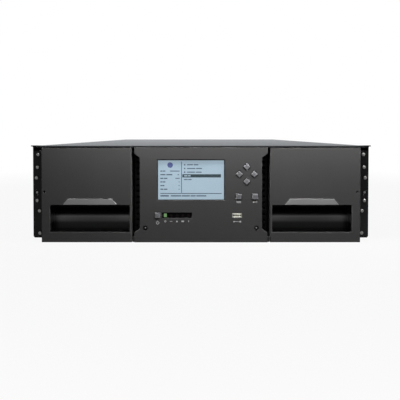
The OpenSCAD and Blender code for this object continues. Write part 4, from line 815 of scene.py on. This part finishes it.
for side, s in SIDES:
    door, tab = side + "_door", side + "_grip_tab"
    dress(tab, tab_skin, 0.3 * MM, 3)
    # A black band round the tab is painted shadow of the gap it lies in. A lighter band outside it
    # and round the pocket is painted highlight on the door's edges.
    for name, inner, outer, finish, proud in (("tab_gap", 0.0, 0.55, gap_shadow_black, 0.04),
                                              ("tab_rim", 0.6, 1.2, edge_highlight_skin, 0.1)):
        band = tab_edge(tab, outer * MM) + tab_edge(tab, inner * MM)[::-1]
        print_on(f"{side}_{name}", [band], face_y, finish, door, proud * MM)
    band = pocket_edge(s, 1.2 * MM) + pocket_edge(s, 0.4 * MM)[::-1]
    print_on(side + "_pocket_rim", [band], face_y, edge_highlight_skin, door, 0.06 * MM)

# ---------------------------------------------------------------- magazines and cartridges
# Open black trays with four rows of five slots, and half-inch tape cartridges in dark grey
# shells. Each cartridge has a paper label with plain bars on the end that faces the aisle.
tray_black = coated("black_tray_moulding", (0.02, 0.02, 0.021), 0.5, 0.5 * MM, 0.015 * MM, 0.08)
shell_grey = coated("cartridge_shell", (0.035, 0.035, 0.038), 0.48, 0.35 * MM, 0.02 * MM, 0.08)
paper = coated("label_paper", (0.72, 0.71, 0.67), 0.7, 0.3 * MM, 0.01 * MM, 0.04)
bar_ink = ink("label_bar_ink", (0.02, 0.02, 0.02), 0.6)
for side, s in SIDES:
    tapes = side + "_cartridges"
    dress(side + "_magazine", tray_black, 0.3 * MM)
    dress(tapes, shell_grey, 0.35 * MM)
    labels, bars = Shape(), Shape()
    for low, high in loose_boxes(tapes):
        y0, y1, z0, z1 = low.y + 16 * MM, high.y - 16 * MM, low.z + 6 * MM, high.z - 5.5 * MM
        end = low.x if s > 0 else high.x
        label_face = end + s * 0.5 * MM
        x0, x1 = sorted((end + s * 0.62 * MM, label_face))
        labels.block((x0, y0, z0), (x1, y1, z1))
        x0, x1 = sorted((label_face, label_face - s * 0.04 * MM))
        for k in range(17):
            y, width = y0 + (6 + k * 3.0) * MM, (1.6, 0.8, 1.1, 0.5)[k * 7 % 4] * MM
            bars.block((x0, y, z0 + 1.5 * MM), (x1, y + width, z1 - 3 * MM))
    build(side + "_labels", labels, paper, tapes)
    build(side + "_label_bars", bars, bar_ink, tapes)
nylon = coated("natural_nylon", (0.62, 0.60, 0.54), 0.42, 0.6 * MM, 0.01 * MM, 0.05)
nylon.feed(Subsurface_Weight=0.1)
dress("magazine_runners", nylon, 0.2 * MM)
lock_plate = plated("plated_lock", (0.5, 0.5, 0.51), 0.35)
dress("magazine_locks", lock_plate, 0.15 * MM)

# ---------------------------------------------------------------- lift
# The robot's lift: four toothed nylon racks with their posts, a galvanised frame of two channel
# beams, two ground steel shafts, a small motor and the toothed belt between the shafts. The
# shafts' pinions are nodes of their own and keep the finish of their CAD slot.
ground_steel = rolled_metal("ground_steel", (0.62, 0.63, 0.65), 0.25, (0.0006, 0.05, 0.0006))
motor_black = coated("black_motor_can", (0.012, 0.012, 0.012), 0.35, 0.6 * MM, 0.008 * MM)
dress("lift_racks", nylon)
dress("lift_frame", zinc, 0.15 * MM)
dress("lift_motor", motor_black, 0.2 * MM)
dress("left_lift_shaft", ground_steel)
dress("right_lift_shaft", ground_steel)


def toothed_rubber(name):
    """Black belt rubber with its teeth across the belt's run."""
    finish = Finish(name, Base_Color=(0.012, 0.012, 0.012, 1), Roughness=0.75)
    teeth = finish.add("TexWave", {"bands_direction": "X"}, Vector=finish.place(),
                       Scale=160.0, Distortion=0.0)
    finish.bump(teeth + finish.noise(0.4 * MM) * 0.3, 0.15 * MM)
    return finish


dress("lift_belt", toothed_rubber("toothed_belt"))

# ---------------------------------------------------------------- carriage and picker
# The carriage plate slides on the beams and carries the turntable, a toothed nylon disc that a
# small motor turns. On it stands the black picker with its telescopic slide and plated gripper.
dress("carriage", zinc, 0.15 * MM)
dress("turn_motor", motor_black, 0.2 * MM)
dress("turn_pinion", ground_steel)
dress("turntable", nylon)
dress("picker", tray_black, 0.2 * MM)
dress("picker_slide", ground_steel, 0.15 * MM)
dress("gripper", lock_plate, 0.15 * MM)

# ---------------------------------------------------------------- drives
# Three tape drives in dark coated sleds, pushed in from behind, each with fan slots, two ports,
# a folded pull lever and a mouth that takes a cartridge from the picker.
sled_coat = coated("dark_sled_coat", (0.06, 0.06, 0.063), 0.42, 0.6 * MM, 0.01 * MM, 0.05)
lever_grey = coated("grey_lever", (0.20, 0.20, 0.21), 0.5, 0.4 * MM, 0.008 * MM)
socket_black = coated("black_socket", (0.008, 0.008, 0.009), 0.4, 0.4 * MM, 0.005 * MM)
shell_metal = plated("bright_shell", (0.62, 0.62, 0.60), 0.28)
green_off = coated("green_lens_off", (0.03, 0.11, 0.035), 0.25, 0.4 * MM, 0.003 * MM)
amber_off = coated("amber_lens_off", (0.22, 0.09, 0.015), 0.25, 0.4 * MM, 0.003 * MM)
rear_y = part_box("rear_panel")[1].y


def lenses(name, node, finish, spots, r):
    """Small domed lamp lenses in round holes of a rear face."""
    profile = [(-1.8 * MM, r), (-0.3 * MM, r), (0.05 * MM, 0.8 * r), (0.2 * MM, 0.3 * r)]
    domes = Shape()
    for x, z in spots:
        domes.turned(profile, (x, rear_y, z), steps=14)
    build(name, domes, finish, node)


def socket_shell(shape, x0, x1, z0, z1, rim, y0, y1):
    """Adds a rectangular tube, the metal shell of a data socket."""
    for a, b, c, d in ((x0, x1, z0, z0 + rim), (x0, x1, z1 - rim, z1),
                       (x0, x0 + rim, z0 + rim, z1 - rim), (x1 - rim, x1, z0 + rim, z1 - rim)):
        shape.block((a, y0, c), (b, y1, d))


for number in (1, 2, 3):
    node = f"drive_{number}"
    low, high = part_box(node)
    sled = dress(node, sled_coat, 0.2 * MM)
    # The pull lever, then the pin through it.
    repaint(sled, lever_grey, (high.x - 33.2 * MM, rear_y - 4.4 * MM, low.z),
            (high.x - 10.8 * MM, high.y, high.z - 5.9 * MM))
    repaint(sled, bright_zinc, (high.x - 38.6 * MM, rear_y - 3.6 * MM, high.z - 8.4 * MM),
            (high.x - 5.4 * MM, rear_y - 1.6 * MM, high.z - 6.4 * MM))
    # Two screws through the upper corners of the sled's rear face.
    for letter, x in (("a", low.x + 3.6 * MM), ("b", high.x - 2.9 * MM)):
        repaint(sled, bright_zinc, (x - 2.3 * MM, rear_y + 0.05 * MM, high.z - 6.4 * MM),
                (x + 2.3 * MM, high.y, high.z))
        mesh = screw(4.0 * MM, 2.2 * MM)
        mesh.transform(Matrix.Translation((x, rear_y + 3.0 * MM, high.z - 4 * MM))
                       @ Matrix.Rotation(math.pi, 4, "Z"))
        add_piece(f"{node}_screw_{letter}", mesh, bright_zinc, body_of[node])
    shells, cores, tongues, wall = Shape(), Shape(), Shape(), 0.55 * MM
    z0, z1 = low.z + 22.3 * MM, low.z + 31.7 * MM
    for offset in (0, 19):
        x0, x1 = (2.3 + offset) * MM, (16.7 + offset) * MM
        socket_shell(shells, x0, x1, z0, z1, 0.5 * MM, rear_y - 13.5 * MM, rear_y + 0.7 * MM)
        cores.block((x0 + wall, rear_y - 13 * MM, z0 + wall),
                    (x1 - wall, rear_y - 7 * MM, z1 - wall))
        tongues.prism(rounded(x0 + 3 * MM, x1 - 3 * MM, z0 + 3.6 * MM, z1 - 3.6 * MM, 0.5 * MM),
                      rear_y - 7 * MM, rear_y - 1.2 * MM)
    build(node + "_shells", shells, shell_metal, node, 0.1 * MM)
    build(node + "_cores", cores, socket_black, node)
    build(node + "_tongues", tongues, socket_black, node, 0.1 * MM)
    lens_z, lens_r = low.z + 12 * MM, 0.93 * MM
    ready = [(4 * MM, lens_z), (10 * MM, lens_z)]
    lenses(node + "_ready_lens", node, green_off, ready, lens_r)
    lenses(node + "_fault_lens", node, amber_off, [(16 * MM, lens_z)], lens_r)

# ---------------------------------------------------------------- power supplies
# Two plated steel cases side by side with the drives. Each has a fan behind a punched grille, a
# black mains inlet with three blades, a lamp and a pull handle in grey plastic.
plain_steel = rolled_metal("plain_plated_steel", (0.58, 0.59, 0.60), 0.36)
fan_black = coated("black_fan", (0.008, 0.008, 0.008), 0.45, 0.6 * MM, 0.008 * MM)
brass = plated("tinned_blade", (0.72, 0.66, 0.48), 0.25)
inlet_w, inlet_h = 14 * MM, 10.2 * MM


def inlet_edge(x, z, t):
    """The outline of an inlet centred on x and z, spread outwards by t."""
    w, h, cut = inlet_w + t, inlet_h + t, 5 * MM + 0.4 * t
    return [(x - w, z - h), (x + w, z - h), (x + w, z + h - cut),
            (x + w - cut, z + h), (x - w + cut, z + h), (x - w, z + h - cut)]


for level in ("upper", "lower"):
    node = level + "_power_supply"
    low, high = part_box(node)
    case = dress(node, plain_steel, 0.2 * MM)
    dress(level + "_fan", fan_black, 0.2 * MM)
    x, z, slack = high.x - 26 * MM, high.z - 20 * MM, 0.1 * MM
    repaint(case, socket_black,
            (x - inlet_w - slack, rear_y - 17 * MM, z - inlet_h - slack),
            (x + inlet_w + slack, rear_y - 0.5 * MM, z + inlet_h + slack))
    for blade_x, blade_z in ((-7, -2), (0, 3), (7, -2)):
        repaint(case, brass,
                (x + (blade_x - 1.1) * MM, rear_y - 15.9 * MM, z + (blade_z - 2.1) * MM),
                (x + (blade_x + 1.1) * MM, rear_y - 3.9 * MM, z + (blade_z + 2.1) * MM))
    # The pull handle lies under the inlet.
    repaint(case, lever_grey, (x - 20.1 * MM, rear_y + 0.3 * MM, low.z + 6 * MM),
            (x + 17.1 * MM, high.y, low.z + 13 * MM))
    outer, inner = inlet_edge(x, z, 2.2 * MM), inlet_edge(x, z, -0.5 * MM)
    band = outer + outer[:1] + inner[:1] + inner[:0:-1] + inner[:1]
    flange = Shape().prism(band, rear_y + 0.02 * MM, rear_y + 1.1 * MM)
    build(level + "_inlet_flange", flange, socket_black, node)
    spot = (low.x + 63 * MM, low.z + 8 * MM)
    lenses(level + "_supply_lens", node, green_off, [spot], 1.4 * MM)

# ---------------------------------------------------------------- controller and backplane
# The controller is a plated tray with its board and three shielded ports, held by two knurled
# thumbscrews. The backplane stands on angle brackets where the power supplies plug in.
low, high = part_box("controller")
tray = dress("controller", plain_steel, 0.2 * MM)
repaint(tray, green_board, (low.x + 3.9 * MM, low.y, low.z + 7.9 * MM),
        (high.x - 3.9 * MM, rear_y - 3.9 * MM, low.z + 9.7 * MM))
spots, lens_r = [(low.x + (14 + k * 7) * MM, low.z + 16 * MM) for k in range(4)], 1.03 * MM
lenses("controller_green_lens", "controller", green_off, spots[:2] + spots[3:], lens_r)
lenses("controller_amber_lens", "controller", amber_off, spots[2:3], lens_r)
ports = dress("controller_ports", shell_metal, 0.15 * MM)
ports_low, ports_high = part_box("controller_ports")
repaint(ports, green_board, (ports_low.x, ports_low.y, ports_low.z - MM),
        (ports_high.x, rear_y - 21.9 * MM, ports_high.z))
port_foot, port_head, port_wide = 41.5 * MM, 55.9 * MM, 16.4 * MM
port_pitch = (high.x - low.x - 22 * MM) / 3
wire_ends = ((rear_y - 13.5 * MM, port_head - 6.5 * MM), (rear_y - 4 * MM, port_head - 3.6 * MM))
contacts = Shape()
for k in range(3):
    x0 = low.x + 14 * MM + k * port_pitch
    x1 = x0 + port_wide
    repaint(ports, socket_black,
            (x0 + 1.9 * MM, rear_y - 14.1 * MM, port_foot + 2.9 * MM),
            (x1 - 1.9 * MM, rear_y - 1.7 * MM, port_head - 2.9 * MM))
    for pin in range(8):
        x = (x0 + x1) / 2 + (pin - 3.5) * 1.02 * MM
        contacts.skin([[(x + i * 0.2 * MM, y, z + j * 0.3 * MM)
                        for i, j in ((-1, 0), (1, 0), (1, 1), (-1, 1))] for y, z in wire_ends])
build("port_contacts", contacts, brass, "controller_ports")
plane = dress("backplane", green_board, 0.15 * MM)
low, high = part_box("backplane")
repaint(plane, socket_black, (low.x, high.y - 20 * MM, low.z), high)
knobs = Shape()
for low, high in loose_boxes("rear_thumbscrews"):
    x, z, r = (low.x + high.x) / 2, (low.z + high.z) / 2, (high.x - low.x) / 2
    knobs.turned([(0, 0.62 * r), (0.8 * MM, 0.62 * r)], (x, low.y, z))
    # Every second one of 48 points round the knob lies deeper, which makes the knurl.
    knurl = [(math.pi * i / 24, r * (1 - 0.07 * (i % 2))) for i in range(48)]
    knobs.skin([[(x + k * reach * math.cos(a), low.y + along * MM, z + k * reach * math.sin(a))
                 for a, reach in knurl]
                for along, k in ((0.8, 0.86), (1.1, 1.0), (5.5, 1.0), (6.0, 0.88))])
    knobs.turned([(6.0 * MM, 0.35 * r), (6.4 * MM, 0.3 * r)], (x, low.y, z))
build("knurled_screws", knobs, bright_zinc, "rear_thumbscrews", stands_for=True)
